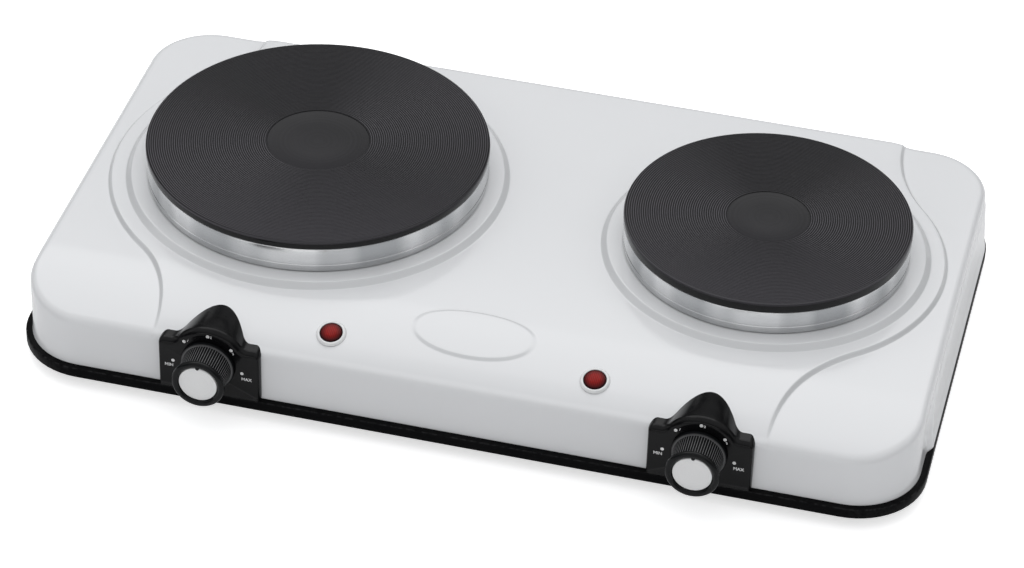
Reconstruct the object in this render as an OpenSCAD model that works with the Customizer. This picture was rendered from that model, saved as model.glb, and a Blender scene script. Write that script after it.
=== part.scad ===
// Two-plate electric hot plate: a pressed steel housing on a black base tray,
// two cast plates with steel trim rings, and two front controls.
// Units are millimetres; the feet stand on z = 0 and the controls face -y.

/* [Nodes] */
// which sub-part to draw

/* [Body] */
// length of the housing along x
body_length = 482; // [470:1:494]
// depth of the housing along y
body_depth = 268; // [264:1:276]
// plan radius of the housing corners
corner_radius = 35; // [28:1:42]
// radius of the shoulder round the top
shoulder_radius = 8; // [6:0.5:10]
// sheet thickness of the housing
sheet = 1; // [0.8:0.1:1.2]
// height of the lower end panels above the table
end_panel_z = 52; // [51:0.25:53]
// rise of the middle panel above the end panels
panel_step = 2.5; // [2:0.25:3]
// height of the front crease above the table
crease_z = 42; // [41.5:0.25:43.5]
// run of the front roll measured back from the front wall
roll_run = 50; // [44:1:54]
// reach of the side swellings beyond the side walls
bulge_reach = 4; // [3:0.25:4]
// length of the side swellings along y
bulge_length = 166; // [150:2:176]
// height of the top edge of the side swellings above the table
bulge_z = 44; // [38:1:45]
// rise of the bare oval badge field
oval_rise = 1; // [0.6:0.1:1.4]
// length of the oval field
oval_length = 64; // [58:1:68]
// width of the oval field
oval_width = 32; // [28:1:34]

/* [Tray] */
// reach of the tray ledge beyond the housing wall
ledge = 4; // [4:0.25:5]
// height of the tray wall
tray_height = 6.3; // [6:0.1:7]
// thickness of the tray floor
floor_sheet = 1.5; // [1.2:0.1:1.8]
// height of the locating lip above the ledge
lip_height = 6; // [4:0.5:7]
// height of the rubber feet
foot_height = 7; // [6.5:0.25:8]
// radius of the rubber feet
foot_radius = 9; // [8:0.5:11]
// number of cooling slots in each bank
slot_count = 8; // [4:1:9]

/* [Plates] */
// radius of the large cast plate
large_radius = 94; // [92:0.5:95]
// radius of the small cast plate
small_radius = 77.5; // [74:0.5:79]
// distance between the plate centres
plate_spacing = 250.7; // [246:0.5:256]
// position of the large plate centre along x
large_x = -116; // [-118:0.5:-112]
// distance of the plate centres behind the middle of the housing
plate_back = 13; // [9:0.5:15]
// height of the cast plate rim
rim_height = 6; // [5:0.25:7]
// height of the steel trim ring
ring_height = 13.5; // [12.5:0.25:14.5]
// rise of the pressed seat under each ring
seat_rise = 3; // [2.5:0.25:3.5]
// width of the flat seat outside each ring
seat_width = 8; // [6:0.25:8.5]
// radius of the sunk centre of the large plate
large_centre = 28; // [24:0.5:30]
// radius of the sunk centre of the small plate
small_centre = 22.5; // [20:0.5:25]

/* [Controls] */
// distance of each control from the middle of the housing
control_x = 131.5; // [128:0.5:134]
// height of the control axes above the table
control_z = 33; // [32.5:0.25:33.5]
// width of the control bezel
bezel_width = 55.5; // [52:0.5:58]
// height of the bezel shoulders above the table
bezel_z = 44.3; // [43.8:0.1:45.5]
// radius of the arched hood over the dial
hood_radius = 21.5; // [20:0.25:22.5]
// radius of the knob skirt
skirt_radius = 15.7; // [14.5:0.1:16.5]
// radius of the knob front rim
rim_radius = 12.9; // [12.4:0.1:13.4]
// radius of the silver cap
cap_radius = 10.4; // [9.5:0.1:11]
// reach of the knob cap in front of the dial face
knob_reach = 19; // [17:0.5:21]
// number of grip ribs round the knob
rib_count = 36; // [24:2:40]
// radius of the control shaft
shaft_radius = 3; // [2.5:0.1:3.2]
// running clearance round the shaft
shaft_clearance = 0.05; // [0.03:0.01:0.09]

/* [Lamps] */
// distance of each lamp from the middle of the housing
lamp_x = 70.8; // [66:0.5:76]
// distance of the lamps in front of the middle of the housing
lamp_front = 116; // [112:0.5:118]
// radius of the clear lamp collar
collar_radius = 8.35; // [7.8:0.05:9]
// radius of the red lens
lens_radius = 6.3; // [5.6:0.1:6.8]

/* [Cord inlet] */
// position of the inlet along x
inlet_x = 160; // [150:1:180]
// height of the inlet above the table
inlet_z = 31; // [28:0.5:34]
// radius of the inlet bore
inlet_bore = 3.6; // [3.2:0.1:4]

/* [Hidden] */
$fn = 96;
tiny = 0.01;
half_x = body_length / 2;
half_y = body_depth / 2;
reach = body_length;
panel_z = end_panel_z + panel_step;
seat_z = panel_z + seat_rise;
ring_top_z = seat_z + ring_height;
plate_top_z = ring_top_z + rim_height;
tray_z = foot_height;
ledge_z = tray_z + tray_height;
floor_z = tray_z + floor_sheet;
small_x = large_x + plate_spacing;
roll_start = roll_run - half_y;
dial_t = half_y + ledge;
cap_t = dial_t + knob_reach;
knob_gap = 0.5;
body_y = knob_reach / 2;
inner_t = half_y - sheet;
frame_gap = 0.2;

// plan of the raised middle panel
waist_reach = 143;
rear_reach = 118;
left_swell = 114;
left_front = 47.3;
left_rear = 66;
right_swell = 97;
right_front = 30;
right_rear = 55.5;
blend_lap = 0.03;

// plate seat and under-plate parts
opening_step = 9;
foot_sheet = 1.2;
skirt_wall = 6;
skirt_gap = 1.6;
boss_radius = 12;
boss_z = seat_z + foot_sheet;
cover_sheet = 1;
cover_z = seat_z + 2;
coil_z = seat_z + 9.5;
coil_wire = 1.5;
coil_inner = 30;
coil_margin = 24;
pin_x = 6;
pin_length = 14;
pin_radius = 1.2;
strap_width = 22;
strap_sheet = 2;
strap_grip = 7;
stud_radius = 3;
stud_length = 27;
nut_radius = 5.8;
nut_height = 4;
block_height = 12;
block_length = 30;
block_depth = 14;

// fixings
screw_radius = 1.5;
head_radius = 3;
head_height = 1.6;
bracket_width = 14;
bracket_sheet = 1.2;
bracket_clear = 4;
bracket_height = 14;
bracket_foot = 15;
front_bracket_x = half_x - corner_radius - bracket_width / 2 - bracket_clear;
base_screw_back = 11;
foot_inset_x = 66;
foot_inset_y = 39;
foot_x = half_x - foot_inset_x;
foot_y = half_y - foot_inset_y;
slot_start = 40;
slot_pitch = 9;
slot_width = 3;
slot_length = 60;
slot_front = 20;

// controls and supply
stat_width = 26;
stat_height = 16.4;
stat_depth = 23;
stat_screw_x = 11;
plate_width = 30;
plate_height = 16;
peg_x = 20;
peg_drop = 10;
oval_x = 2;
oval_front = 100;
collar_neck = 5.9;
lamp_hole = 6.1;
lens_neck = 4.8;
gland_neck = 6.5;
gland_flange = 9;
rear_bracket_x = inlet_x - gland_flange - bracket_width / 2 - 2 * bracket_clear;
thread_depth = 7;
hood_depth = 34;
terminal_inset = 60;
terminal_back = 46;
terminal_width = 40;
terminal_size = 14;
terminal_x = inlet_x - terminal_inset;
terminal_y = half_y - terminal_back;
earth_inset = 50;
wire_radius = 1.2;
lead_spread = 6.5;
lead_step = 3;

// ---------------------------------------------------------------- helpers

function roll_radius(drop) = (roll_run * roll_run + drop * drop) / (2 * drop);
function waist_radius(swell, offset, run) =
  (offset * offset + run * run - swell * swell) / (2 * (swell - offset));

module placed() {
  translate([0, body_y, 0]) children();
}

module rod(from, to, radius) {
  run = to - from;
  length = norm(run);
  translate(from)
    rotate([0, acos(run[2] / length), atan2(run[1], run[0])])
      cylinder(h = length, r = radius, $fn = 24);
}

module wire(points) {
  for (i = [0 : len(points) - 2]) {
    rod(points[i], points[i + 1], wire_radius);
  }
  for (i = [1 : len(points) - 2]) {
    translate(points[i]) sphere(r = wire_radius, $fn = 24);
  }
}

// rectangle with round corners
module round_plan(hx, hy, radius) {
  for (sx = [-1, 1]) {
    for (sy = [-1, 1]) {
      translate([sx * (hx - radius), sy * (hy - radius)]) circle(r = radius);
    }
  }
  square([2 * (hx - radius), 2 * hy], center = true);
  square([2 * hx, 2 * (hy - radius)], center = true);
}

// upright section with two round upper corners
module loaf_section(half, low, high, radius) {
  for (side = [-1, 1]) {
    translate([side * (half - radius), high - radius]) circle(r = radius);
  }
  translate([-half, low]) square([2 * half, high - radius - low]);
  translate([radius - half, low]) square([2 * (half - radius), high - low]);
}

// solid block with round plan corners and a round shoulder
module loaf(hx, hy, low, high, corner, shoulder) {
  rotate([90, 0, 90])
    linear_extrude(height = 2 * (hx - corner), center = true)
      loaf_section(hy, low, high, shoulder);
  rotate([90, 0, 0])
    linear_extrude(height = 2 * (hy - corner), center = true)
      loaf_section(hx, low, high, shoulder);
  for (sx = [-1, 1]) {
    for (sy = [-1, 1]) {
      translate([sx * (hx - corner), sy * (hy - corner), 0])
        rotate_extrude()
          intersection() {
            loaf_section(corner, low, high, shoulder);
            translate([0, low]) square([corner, high - low]);
          }
    }
  }
}

// everything above the long front roll
module roll_waste(top, inset) {
  radius = roll_radius(top - crease_z);
  rotate([90, 0, 90])
    linear_extrude(height = 2 * reach, center = true)
      difference() {
        translate([roll_start - reach, crease_z - 12]) square([reach, top - crease_z + 20]);
        translate([roll_start, top - radius]) circle(r = radius - inset, $fn = 240);
      }
}

// the housing block up to one level, shrunk by the inset
module level_block(top, inset, low) {
  difference() {
    loaf(half_x - inset, half_y - inset, low, top - inset,
         corner_radius - inset, shoulder_radius - inset);
    roll_waste(top, inset);
  }
}

// one side of the raised panel; mirrored for the other plate
module panel_side(centre, swell, front, rear, flip, inset) {
  front_r = waist_radius(swell, front, waist_reach) + inset;
  rear_r = waist_radius(swell, rear, rear_reach) + inset;
  front_x = front + front_r - inset;
  rear_x = rear + rear_r - inset;
  translate([centre, plate_back])
    mirror([flip, 0]) {
      difference() {
        polygon([
          [0, -reach], [front - inset, -reach], [front - inset, -waist_reach],
          [front_x, -waist_reach], [0, 0], [rear_x, rear_reach],
          [rear - inset, rear_reach], [rear - inset, reach], [0, reach]
        ]);
        translate([front_x, -waist_reach]) circle(r = front_r, $fn = 180);
        translate([rear_x, rear_reach]) circle(r = rear_r, $fn = 180);
      }
      circle(r = swell - inset + blend_lap, $fn = 180);
    }
}

module raised_plan(inset) {
  panel_side(large_x, left_swell, left_front, left_rear, 1, inset);
  panel_side(small_x, right_swell, right_front, right_rear, 0, inset);
  translate([large_x, -reach]) square([plate_spacing, 2 * reach]);
}

module ring_seat(x, radius, inset) {
  top = radius + seat_width - inset;
  translate([x, plate_back, panel_z - 8])
    cylinder(h = 8 - inset, r = top + 3.3);
  translate([x, plate_back, panel_z - inset])
    cylinder(h = seat_rise, r1 = top + 3.3, r2 = top);
}

// long round-edged swelling of both side walls
module side_bulges(inset, low) {
  for (side = [-1, 1]) {
    mirror([side < 0 ? 1 : 0, 0, 0])
      translate([half_x - 12 - inset, 0, 0])
        rotate([90, 0, 0])
          linear_extrude(height = bulge_length - 2 * inset, center = true)
            polygon([
              [0, low], [12 + bulge_reach, low], [12 + bulge_reach, bulge_z - 4 - inset],
              [12 + bulge_reach - 1.2, bulge_z - 1.2 - inset], [12, bulge_z - inset], [0, bulge_z - inset]
            ]);
  }
}

module oval_plan() {
  big = (oval_length * oval_length + oval_width * oval_width) / (4 * oval_width);
  intersection_for(side = [-1, 1]) {
    translate([oval_x, side * (big - oval_width / 2) - oval_front]) circle(r = big, $fn = 120);
  }
}

// housing block with every pressed level, shrunk by the inset
module housing_block(inset, low) {
  level_block(end_panel_z, inset, low);
  intersection() {
    level_block(panel_z, inset, low);
    linear_extrude(height = 2 * panel_z) raised_plan(inset);
  }
  intersection() {
    level_block(panel_z + oval_rise, inset, low + 20);
    linear_extrude(height = 2 * panel_z) oval_plan();
  }
  ring_seat(large_x, large_radius, inset);
  ring_seat(small_x, small_radius, inset);
  side_bulges(inset, low);
}

// local frame of one control: x across, y up, z towards the user
module control_frame(side) {
  translate([side * control_x, 0, control_z]) rotate([90, 0, 0]) children();
}

// local frame of one lamp: z out of the sloping panel
module lamp_frame(side) {
  radius = roll_radius(panel_z - crease_z);
  run = lamp_front + roll_start;
  translate([side * lamp_x, -lamp_front, panel_z - radius + sqrt(radius * radius - run * run)])
    rotate([asin(run / radius), 0, 0])
      children();
}

module bracket_places() {
  for (place = [-1, 0, 1]) {
    translate([place * rear_bracket_x, 0, 0]) children();
    translate([place * front_bracket_x, 0, 0]) mirror([0, 1, 0]) children();
  }
}

// ---------------------------------------------------------------- body

module top_housing() {
  color("white")
    difference() {
      housing_block(0, ledge_z);
      housing_block(sheet, ledge_z - 1);
      for (plate = [[large_x, large_radius], [small_x, small_radius]]) {
        translate([plate[0], plate_back, panel_z - 9])
          cylinder(h = 20, r = plate[1] - opening_step);
      }
      for (side = [-1, 1]) {
        control_frame(side) {
          translate([0, 0, half_y - 6]) cylinder(h = 12, r = shaft_radius + 2);
          for (side_x = [-1, 1]) {
            translate([side_x * stat_screw_x, 0, half_y - 6])
              cylinder(h = 12, r = screw_radius, $fn = 32);
            translate([side_x * peg_x, -peg_drop, half_y - 6])
              cylinder(h = 12, r = screw_radius, $fn = 32);
          }
        }
        lamp_frame(side) translate([0, 0, -8]) cylinder(h = 20, r = lamp_hole);
      }
      translate([inlet_x, half_y - 6, inlet_z])
        rotate([-90, 0, 0])
          cylinder(h = 12, r = gland_neck);
    }
}

module base_tray() {
  hx = half_x + ledge;
  hy = half_y + ledge;
  corner = corner_radius + ledge;
  lip_out = ledge + sheet + frame_gap;
  lip_in = lip_out + 1.8;
  color([0.08, 0.08, 0.09])
    difference() {
      union() {
        translate([0, 0, tray_z])
          linear_extrude(height = tray_height) round_plan(hx, hy, corner);
        translate([0, 0, ledge_z - tiny])
          linear_extrude(height = lip_height + tiny)
            round_plan(hx - lip_out, hy - lip_out, corner - lip_out);
      }
      translate([0, 0, floor_z])
        linear_extrude(height = tray_height - floor_sheet - 2)
          round_plan(hx - 2, hy - 2, corner - 2);
      translate([0, 0, floor_z])
        linear_extrude(height = tray_height + lip_height)
          round_plan(hx - lip_in, hy - lip_in, corner - lip_in);
      bracket_places()
        translate([0, half_y - sheet - base_screw_back, tray_z - 1])
          cylinder(h = floor_sheet + 2, r = screw_radius, $fn = 32);
      for (sx = [-1, 1]) {
        for (sy = [-1, 1]) {
          translate([sx * foot_x, sy * foot_y, tray_z - 1])
            cylinder(h = floor_sheet + 2, r = screw_radius, $fn = 32);
        }
        for (i = [0 : slot_count - 1]) {
          translate([sx * (slot_start + slot_pitch * i), -slot_front, tray_z - 1])
            linear_extrude(height = floor_sheet + 2) {
              translate([-slot_width / 2, 0]) square([slot_width, slot_length]);
              circle(r = slot_width / 2, $fn = 32);
              translate([0, slot_length]) circle(r = slot_width / 2, $fn = 32);
            }
        }
      }
    }
}

module fixing_brackets() {
  wall = half_y - sheet;
  color("lightgrey")
    bracket_places()
      difference() {
        rotate([90, 0, 90])
          linear_extrude(height = bracket_width, center = true)
            polygon([
              [wall, ledge_z + lip_height + 2], [wall, ledge_z + lip_height + bracket_height],
              [wall - bracket_sheet, ledge_z + lip_height + bracket_height],
              [wall - bracket_sheet, ledge_z + lip_height + 4],
              [wall - 4.4, ledge_z + lip_height + 2], [wall - 4.4, floor_z + bracket_sheet],
              [wall - bracket_foot, floor_z + bracket_sheet], [wall - bracket_foot, floor_z],
              [wall - 3.2, floor_z], [wall - 3.2, ledge_z + lip_height + 1]
            ]);
        translate([0, wall - base_screw_back, tray_z])
          cylinder(h = floor_sheet + bracket_sheet + 4, r = screw_radius, $fn = 32);
      }
}

module rubber_feet() {
  color([0.1, 0.1, 0.1])
    for (sx = [-1, 1]) {
      for (sy = [-1, 1]) {
        translate([sx * foot_x, sy * foot_y, 0])
          difference() {
            cylinder(h = foot_height, r1 = foot_radius - 1, r2 = foot_radius);
            translate([0, 0, -1]) cylinder(h = foot_height + 2, r = screw_radius, $fn = 32);
            translate([0, 0, -1]) cylinder(h = 4, r = head_radius + 0.5);
          }
      }
    }
}

// pan head screw with its head below z = 0
module screw(length) {
  translate([0, 0, -head_height])
    difference() {
      cylinder(h = head_height, r = head_radius);
      translate([0, 0, -tiny]) cylinder(h = 0.8, r = 1.3, $fn = 4);
    }
  cylinder(h = length, r = screw_radius, $fn = 32);
}

module foot_screws() {
  color("silver")
    for (sx = [-1, 1]) {
      for (sy = [-1, 1]) {
        translate([sx * foot_x, sy * foot_y, 3]) screw(foot_height + floor_sheet + 1);
      }
    }
}

module base_screws() {
  color("silver")
    bracket_places()
      translate([0, half_y - sheet - base_screw_back, tray_z])
        screw(floor_sheet + bracket_sheet + 5);
}

// ---------------------------------------------------------------- plates

// ring-shaped solid turned from an upright outline
module turned(x, outline) {
  translate([x, plate_back, 0]) rotate_extrude($fn = 180) polygon(outline);
}

module trim_ring(x, radius) {
  outer = radius - 0.5;
  color("silver")
    turned(x, [
      [radius - opening_step + 1, seat_z], [radius + 0.3, seat_z],
      [radius + 0.3, seat_z + 1.4], [outer, seat_z + 2.6],
      [outer, ring_top_z], [outer - foot_sheet, ring_top_z],
      [outer - foot_sheet, seat_z + foot_sheet], [radius - opening_step + 1, seat_z + foot_sheet]
    ]);
}

module cast_plate(x, radius, centre) {
  skirt = radius - 0.5 - foot_sheet - 0.3;
  color([0.15, 0.15, 0.16])
    difference() {
      turned(x, [
        [stud_radius, boss_z - 1], [boss_radius, boss_z - 1], [boss_radius, ring_top_z - 1.5],
        [skirt - skirt_wall, ring_top_z - 1.5], [skirt - skirt_wall, boss_z], [skirt, boss_z],
        [skirt, ring_top_z], [radius, ring_top_z], [radius, plate_top_z - 1.5],
        [radius - 1.5, plate_top_z], [centre, plate_top_z], [centre, plate_top_z - 0.6],
        [0, plate_top_z - 0.6], [0, ring_top_z], [stud_radius, ring_top_z]
      ]);
    }
}

// embedded heating wire with its two terminal pins
module heater_coil(x, radius) {
  outer = radius - coil_margin;
  middle = (coil_inner + outer) / 2;
  color("silver")
    translate([x, plate_back, coil_z]) {
      for (r = [coil_inner, middle, outer]) {
        rotate_extrude() translate([r, 0]) circle(r = coil_wire, $fn = 24);
      }
      for (side = [-1, 1]) {
        foot = [side * pin_x, sqrt(coil_inner * coil_inner - pin_x * pin_x), 0];
        rod(foot, foot * outer / coil_inner, pin_radius);
        translate([foot[0], foot[1], -pin_length])
          cylinder(h = pin_length, r = pin_radius, $fn = 24);
      }
    }
}

module heater_fill(x, radius) {
  skirt = radius - 0.8 - foot_sheet - skirt_wall;
  color("beige")
    difference() {
      turned(x, [
        [boss_radius, cover_z + cover_sheet], [skirt, cover_z + cover_sheet],
        [skirt, ring_top_z - 1.5], [boss_radius, ring_top_z - 1.5]
      ]);
      heater_coil(x, radius);
    }
}

module cover_plate(x, radius) {
  skirt = radius - 0.8 - foot_sheet - skirt_wall;
  color("silver")
    difference() {
      turned(x, [
        [boss_radius, cover_z], [skirt, cover_z],
        [skirt, cover_z + cover_sheet], [boss_radius, cover_z + cover_sheet]
      ]);
      for (side = [-1, 1]) {
        translate([x + side * pin_x, plate_back + sqrt(coil_inner * coil_inner - pin_x * pin_x), cover_z - 1])
          cylinder(h = 3, r = pin_radius, $fn = 24);
      }
    }
}

module clamp_bar(x, radius) {
  half = radius - opening_step + strap_grip;
  top = seat_z - sheet;
  color("silver")
    translate([x, plate_back, top - strap_sheet])
      difference() {
        translate([-half, -strap_width / 2, 0]) cube([2 * half, strap_width, strap_sheet]);
        translate([0, 0, -1]) cylinder(h = strap_sheet + 2, r = stud_radius);
      }
}

module clamp_studs() {
  color("silver")
    for (x = [large_x, small_x]) {
      translate([x, plate_back, ring_top_z - stud_length])
        cylinder(h = stud_length, r = stud_radius);
    }
}

module clamp_nuts() {
  color("silver")
    for (x = [large_x, small_x]) {
      translate([x, plate_back, seat_z - sheet - strap_sheet - nut_height])
        difference() {
          linear_extrude(height = nut_height) circle(r = nut_radius, $fn = 6);
          translate([0, 0, -1]) cylinder(h = nut_height + 2, r = stud_radius);
        }
    }
}

module plate_terminals() {
  row = sqrt(coil_inner * coil_inner - pin_x * pin_x);
  color("white")
    for (x = [large_x, small_x]) {
      translate([x, plate_back + row, cover_z - block_height])
        difference() {
          translate([-block_length / 2, -block_depth / 2, 0])
            cube([block_length, block_depth, block_height]);
          for (side = [-1, 1]) {
            translate([side * pin_x, 0, -1]) cylinder(h = block_height + 2, r = pin_radius, $fn = 24);
          }
        }
    }
}

// ---------------------------------------------------------------- controls

module bezel(side) {
  half = bezel_width / 2;
  corner = 3;
  color([0.1, 0.1, 0.1])
    difference() {
      intersection() {
        union() {
          control_frame(side) {
            translate([0, 0, half_y - 14])
              linear_extrude(height = dial_t - half_y + 14 - 1.5)
                bezel_outline(half, corner);
            translate([0, 0, dial_t - 1.5 - tiny])
              linear_extrude(height = 1.5 + tiny)
                bezel_outline(half - 1.2, corner);
            rotate_extrude()
              polygon([
                [0, half_y - 30], [hood_radius - 3, half_y - 30], [hood_radius, half_y - 3],
                [hood_radius, dial_t - 6], [hood_radius - 1.6, dial_t - 3.2],
                [hood_radius - 2.6, dial_t], [0, dial_t]
              ]);
          }
        }
        translate([side * control_x - bezel_width, -dial_t, ledge_z])
          cube([2 * bezel_width, hood_depth, end_panel_z]);
      }
      housing_block(0, ledge_z - 5);
      control_frame(side) {
        translate([0, 0, half_y - 8]) cylinder(h = 20, r = shaft_radius + 1);
        for (x = [-stat_screw_x, stat_screw_x]) {
          translate([x, 0, half_y - 8]) cylinder(h = 8 + head_height + 0.3, r = head_radius + 0.3);
        }
      }
    }
  color([0.1, 0.1, 0.1])
    control_frame(side)
      for (x = [-peg_x, peg_x]) {
        translate([x, -peg_drop, half_y - 4]) cylinder(h = 5, r = screw_radius, $fn = 32);
      }
}

// front outline of the bezel round the control axis
module bezel_outline(half, corner) {
  high = bezel_z - control_z;
  low = ledge_z - control_z;
  for (side = [-1, 1]) {
    translate([side * (half - corner), high - corner]) circle(r = corner);
  }
  translate([-half, low]) square([2 * half, high - corner - low]);
  translate([corner - half, low]) square([2 * (half - corner), high - low]);
}

module knob(side) {
  color([0.08, 0.08, 0.08])
    control_frame(side)
      difference() {
        union() {
          rotate_extrude()
            polygon([
              [shaft_radius, dial_t + knob_gap], [skirt_radius, dial_t + knob_gap],
              [skirt_radius, dial_t + knob_gap + 2], [skirt_radius - 1.2, dial_t + knob_gap + 3.2],
              [rim_radius + 0.4, dial_t + knob_gap + 3.4], [rim_radius - 0.7, cap_t - 4],
              [rim_radius, cap_t - 3.2], [rim_radius, cap_t - 1.4],
              [rim_radius - 1, cap_t - 0.4], [cap_radius, cap_t - 0.4],
              [cap_radius, cap_t - 1.4], [0, cap_t - 1.4], [0, cap_t - 5], [shaft_radius, cap_t - 5]
            ]);
          for (i = [0 : rib_count - 1]) {
            rotate([0, 0, i * 360 / rib_count])
              translate([rim_radius - 1.5, -0.35, dial_t + knob_gap + 3])
                cube([1.9, 0.7, cap_t - dial_t - knob_gap - 6.5]);
          }
        }
        translate([0, 0, dial_t])
          difference() {
            cylinder(h = knob_reach - 6, r = rim_radius - 2.6);
            cylinder(h = knob_reach, r = shaft_radius + 2.2);
          }
      }
}

module knob_cap(side) {
  color("silver")
    control_frame(side)
      translate([0, 0, cap_t - 1.4])
        difference() {
          cylinder(h = 1.4, r = cap_radius);
          translate([0, cap_radius, -1]) cylinder(h = 4, r = 1.1, $fn = 32);
        }
}

module control_shaft(side) {
  color("silver")
    control_frame(side)
      translate([0, 0, inner_t - stat_depth + 3])
        cylinder(h = cap_t - 5 - inner_t + stat_depth - 3, r = shaft_radius);
}

module thermostat(side) {
  color("ivory")
    control_frame(side)
      difference() {
        translate([-stat_width / 2, -stat_height / 2, inner_t - stat_depth])
          cube([stat_width, stat_height, stat_depth - bracket_sheet]);
        translate([0, 0, inner_t - stat_depth + 2])
          cylinder(h = 30, r = shaft_radius + shaft_clearance);
        for (x = [-stat_screw_x, stat_screw_x]) {
          translate([x, 0, inner_t - thread_depth])
            cylinder(h = thread_depth + 3, r = screw_radius, $fn = 32);
        }
      }
}

module thermostat_bracket(side) {
  color("silver")
    control_frame(side)
      difference() {
        translate([-plate_width / 2, -plate_height / 2, inner_t - bracket_sheet])
          cube([plate_width, plate_height, bracket_sheet]);
        translate([0, 0, inner_t - 3]) cylinder(h = 10, r = shaft_radius + 0.6);
        for (x = [-stat_screw_x, stat_screw_x]) {
          translate([x, 0, inner_t - thread_depth])
            cylinder(h = thread_depth + 3, r = screw_radius, $fn = 32);
        }
      }
}

module thermostat_screws() {
  color("silver")
    for (side = [-1, 1]) {
      control_frame(side)
        for (x = [-stat_screw_x, stat_screw_x]) {
          translate([x, 0, half_y]) mirror([0, 0, 1]) screw(sheet + thread_depth);
        }
    }
}

// ---------------------------------------------------------------- lamps

module lamp_collar(side) {
  color("white")
    lamp_frame(side)
      rotate_extrude()
        polygon([
          [lens_neck, -9], [collar_neck, -9], [collar_neck, 0], [collar_radius, 0],
          [collar_radius, 0.7], [collar_radius - 0.7, 1.3], [lens_radius + 0.1, 1.3],
          [lens_radius + 0.1, 0.3], [lens_neck, 0.3]
        ]);
}

module lamp_lens(side) {
  color("red")
    lamp_frame(side)
      rotate_extrude()
        polygon([
          [0, -3], [lens_neck, -3], [lens_neck, 0.3], [lens_radius, 0.3], [lens_radius, 1.6],
          [lens_radius - 0.9, 2.3], [lens_radius - 2.6, 2.8], [0, 3]
        ]);
}

module lamp_body(side) {
  color("ivory")
    lamp_frame(side) translate([0, 0, -20]) cylinder(h = 17, r = lens_neck);
}

// ---------------------------------------------------------------- supply

module cord_gland() {
  color([0.1, 0.1, 0.1])
    translate([inlet_x, half_y, inlet_z])
      rotate([-90, 0, 0])
        difference() {
          union() {
            translate([0, 0, -9]) cylinder(h = 11, r = gland_neck);
            cylinder(h = 2.5, r = gland_flange);
            translate([0, 0, -sheet - 3])
              linear_extrude(height = 3)
                circle(r = gland_flange, $fn = 6);
          }
          translate([0, 0, -10]) cylinder(h = 20, r = inlet_bore);
        }
}

module mains_terminal() {
  color("ivory")
    translate([terminal_x, terminal_y, floor_z])
      difference() {
        cube([terminal_width, terminal_size, terminal_size]);
        for (i = [0 : 3]) {
          translate([terminal_width * (i + 0.5) / 4, -1, 4])
            rotate([-90, 0, 0])
              cylinder(h = terminal_size + 2, r = 1.8, $fn = 32);
        }
      }
}

module earth_stud() {
  color("gold")
    translate([inlet_x - earth_inset, half_y - sheet, inlet_z])
      rotate([90, 0, 0]) {
        cylinder(h = 11, r = 2);
        translate([0, 0, 4]) linear_extrude(height = 3.2) circle(r = 4, $fn = 6);
        cylinder(h = 1, r = 4);
      }
}

module internal_leads() {
  pin_y = plate_back + sqrt(coil_inner * coil_inner - pin_x * pin_x);
  pin_z = coil_z - pin_length;
  stat_y = stat_depth - inner_t;
  block_y = terminal_y + terminal_size / 2;
  block_z = floor_z + terminal_size;
  pole = [for (i = [0 : 3]) terminal_x + terminal_width * (i + 0.5) / 4];
  left_in = -control_x - lead_spread;
  left_out = lead_spread - control_x;
  right_in = control_x - lead_spread;
  right_out = control_x + lead_spread;
  turn_y = stat_y + 3 * lead_step;
  low = control_z - lead_step;
  color("red") {
    wire([[pole[1], block_y, block_z], [pole[1], block_y, control_z], [pole[1], turn_y, control_z],
          [right_in, turn_y, control_z], [right_in, stat_y, control_z]]);
    wire([[right_out, stat_y, control_z + lead_step], [right_out, pin_y, control_z + lead_step],
          [small_x + pin_x, pin_y, control_z + lead_step], [small_x + pin_x, pin_y, pin_z]]);
    wire([[pole[2], block_y, block_z], [pole[2], block_y, low], [pole[2], block_y - 20, low],
          [small_x - pin_x, block_y - 20, low], [small_x - pin_x, pin_y, low],
          [small_x - pin_x, pin_y, pin_z]]);
    wire([[pole[0], block_y, block_z], [pole[0], block_y, low - 1], [left_in, block_y, low - 1],
          [left_in, stat_y, low - 1]]);
    wire([[left_out, stat_y, control_z + lead_step], [left_out, pin_y, control_z + lead_step],
          [large_x - pin_x, pin_y, control_z + lead_step], [large_x - pin_x, pin_y, pin_z]]);
    wire([[large_x + pin_x, pin_y, pin_z], [large_x + pin_x, pin_y, block_z + lead_step],
          [terminal_x + 1, pin_y, block_z + lead_step], [terminal_x + 1, block_y, block_z + lead_step],
          [terminal_x + 1, block_y, block_z]]);
  }
}

// ---------------------------------------------------------------- assembly

placed() top_housing();
placed() base_tray();
placed() fixing_brackets();
placed() base_screws();
placed() rubber_feet();
placed() foot_screws();
placed() cast_plate(large_x, large_radius, large_centre);  // large_plate
placed() cast_plate(small_x, small_radius, small_centre);  // small_plate
placed() trim_ring(large_x, large_radius);  // large_trim_ring
placed() trim_ring(small_x, small_radius);  // small_trim_ring
placed() heater_coil(large_x, large_radius);  // large_heater_coil
placed() heater_coil(small_x, small_radius);  // small_heater_coil
placed() heater_fill(large_x, large_radius);  // large_heater_fill
placed() heater_fill(small_x, small_radius);  // small_heater_fill
placed() cover_plate(large_x, large_radius);  // large_cover_plate
placed() cover_plate(small_x, small_radius);  // small_cover_plate
placed() clamp_bar(large_x, large_radius);  // large_clamp_bar
placed() clamp_bar(small_x, small_radius);  // small_clamp_bar
placed() clamp_studs();
placed() clamp_nuts();
placed() plate_terminals();
placed() bezel(-1);  // left_bezel
placed() bezel(1);  // right_bezel
placed() knob(-1);  // left_knob
placed() knob(1);  // right_knob
placed() knob_cap(-1);  // left_knob_cap
placed() knob_cap(1);  // right_knob_cap
placed() control_shaft(-1);  // left_shaft
placed() control_shaft(1);  // right_shaft
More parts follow.
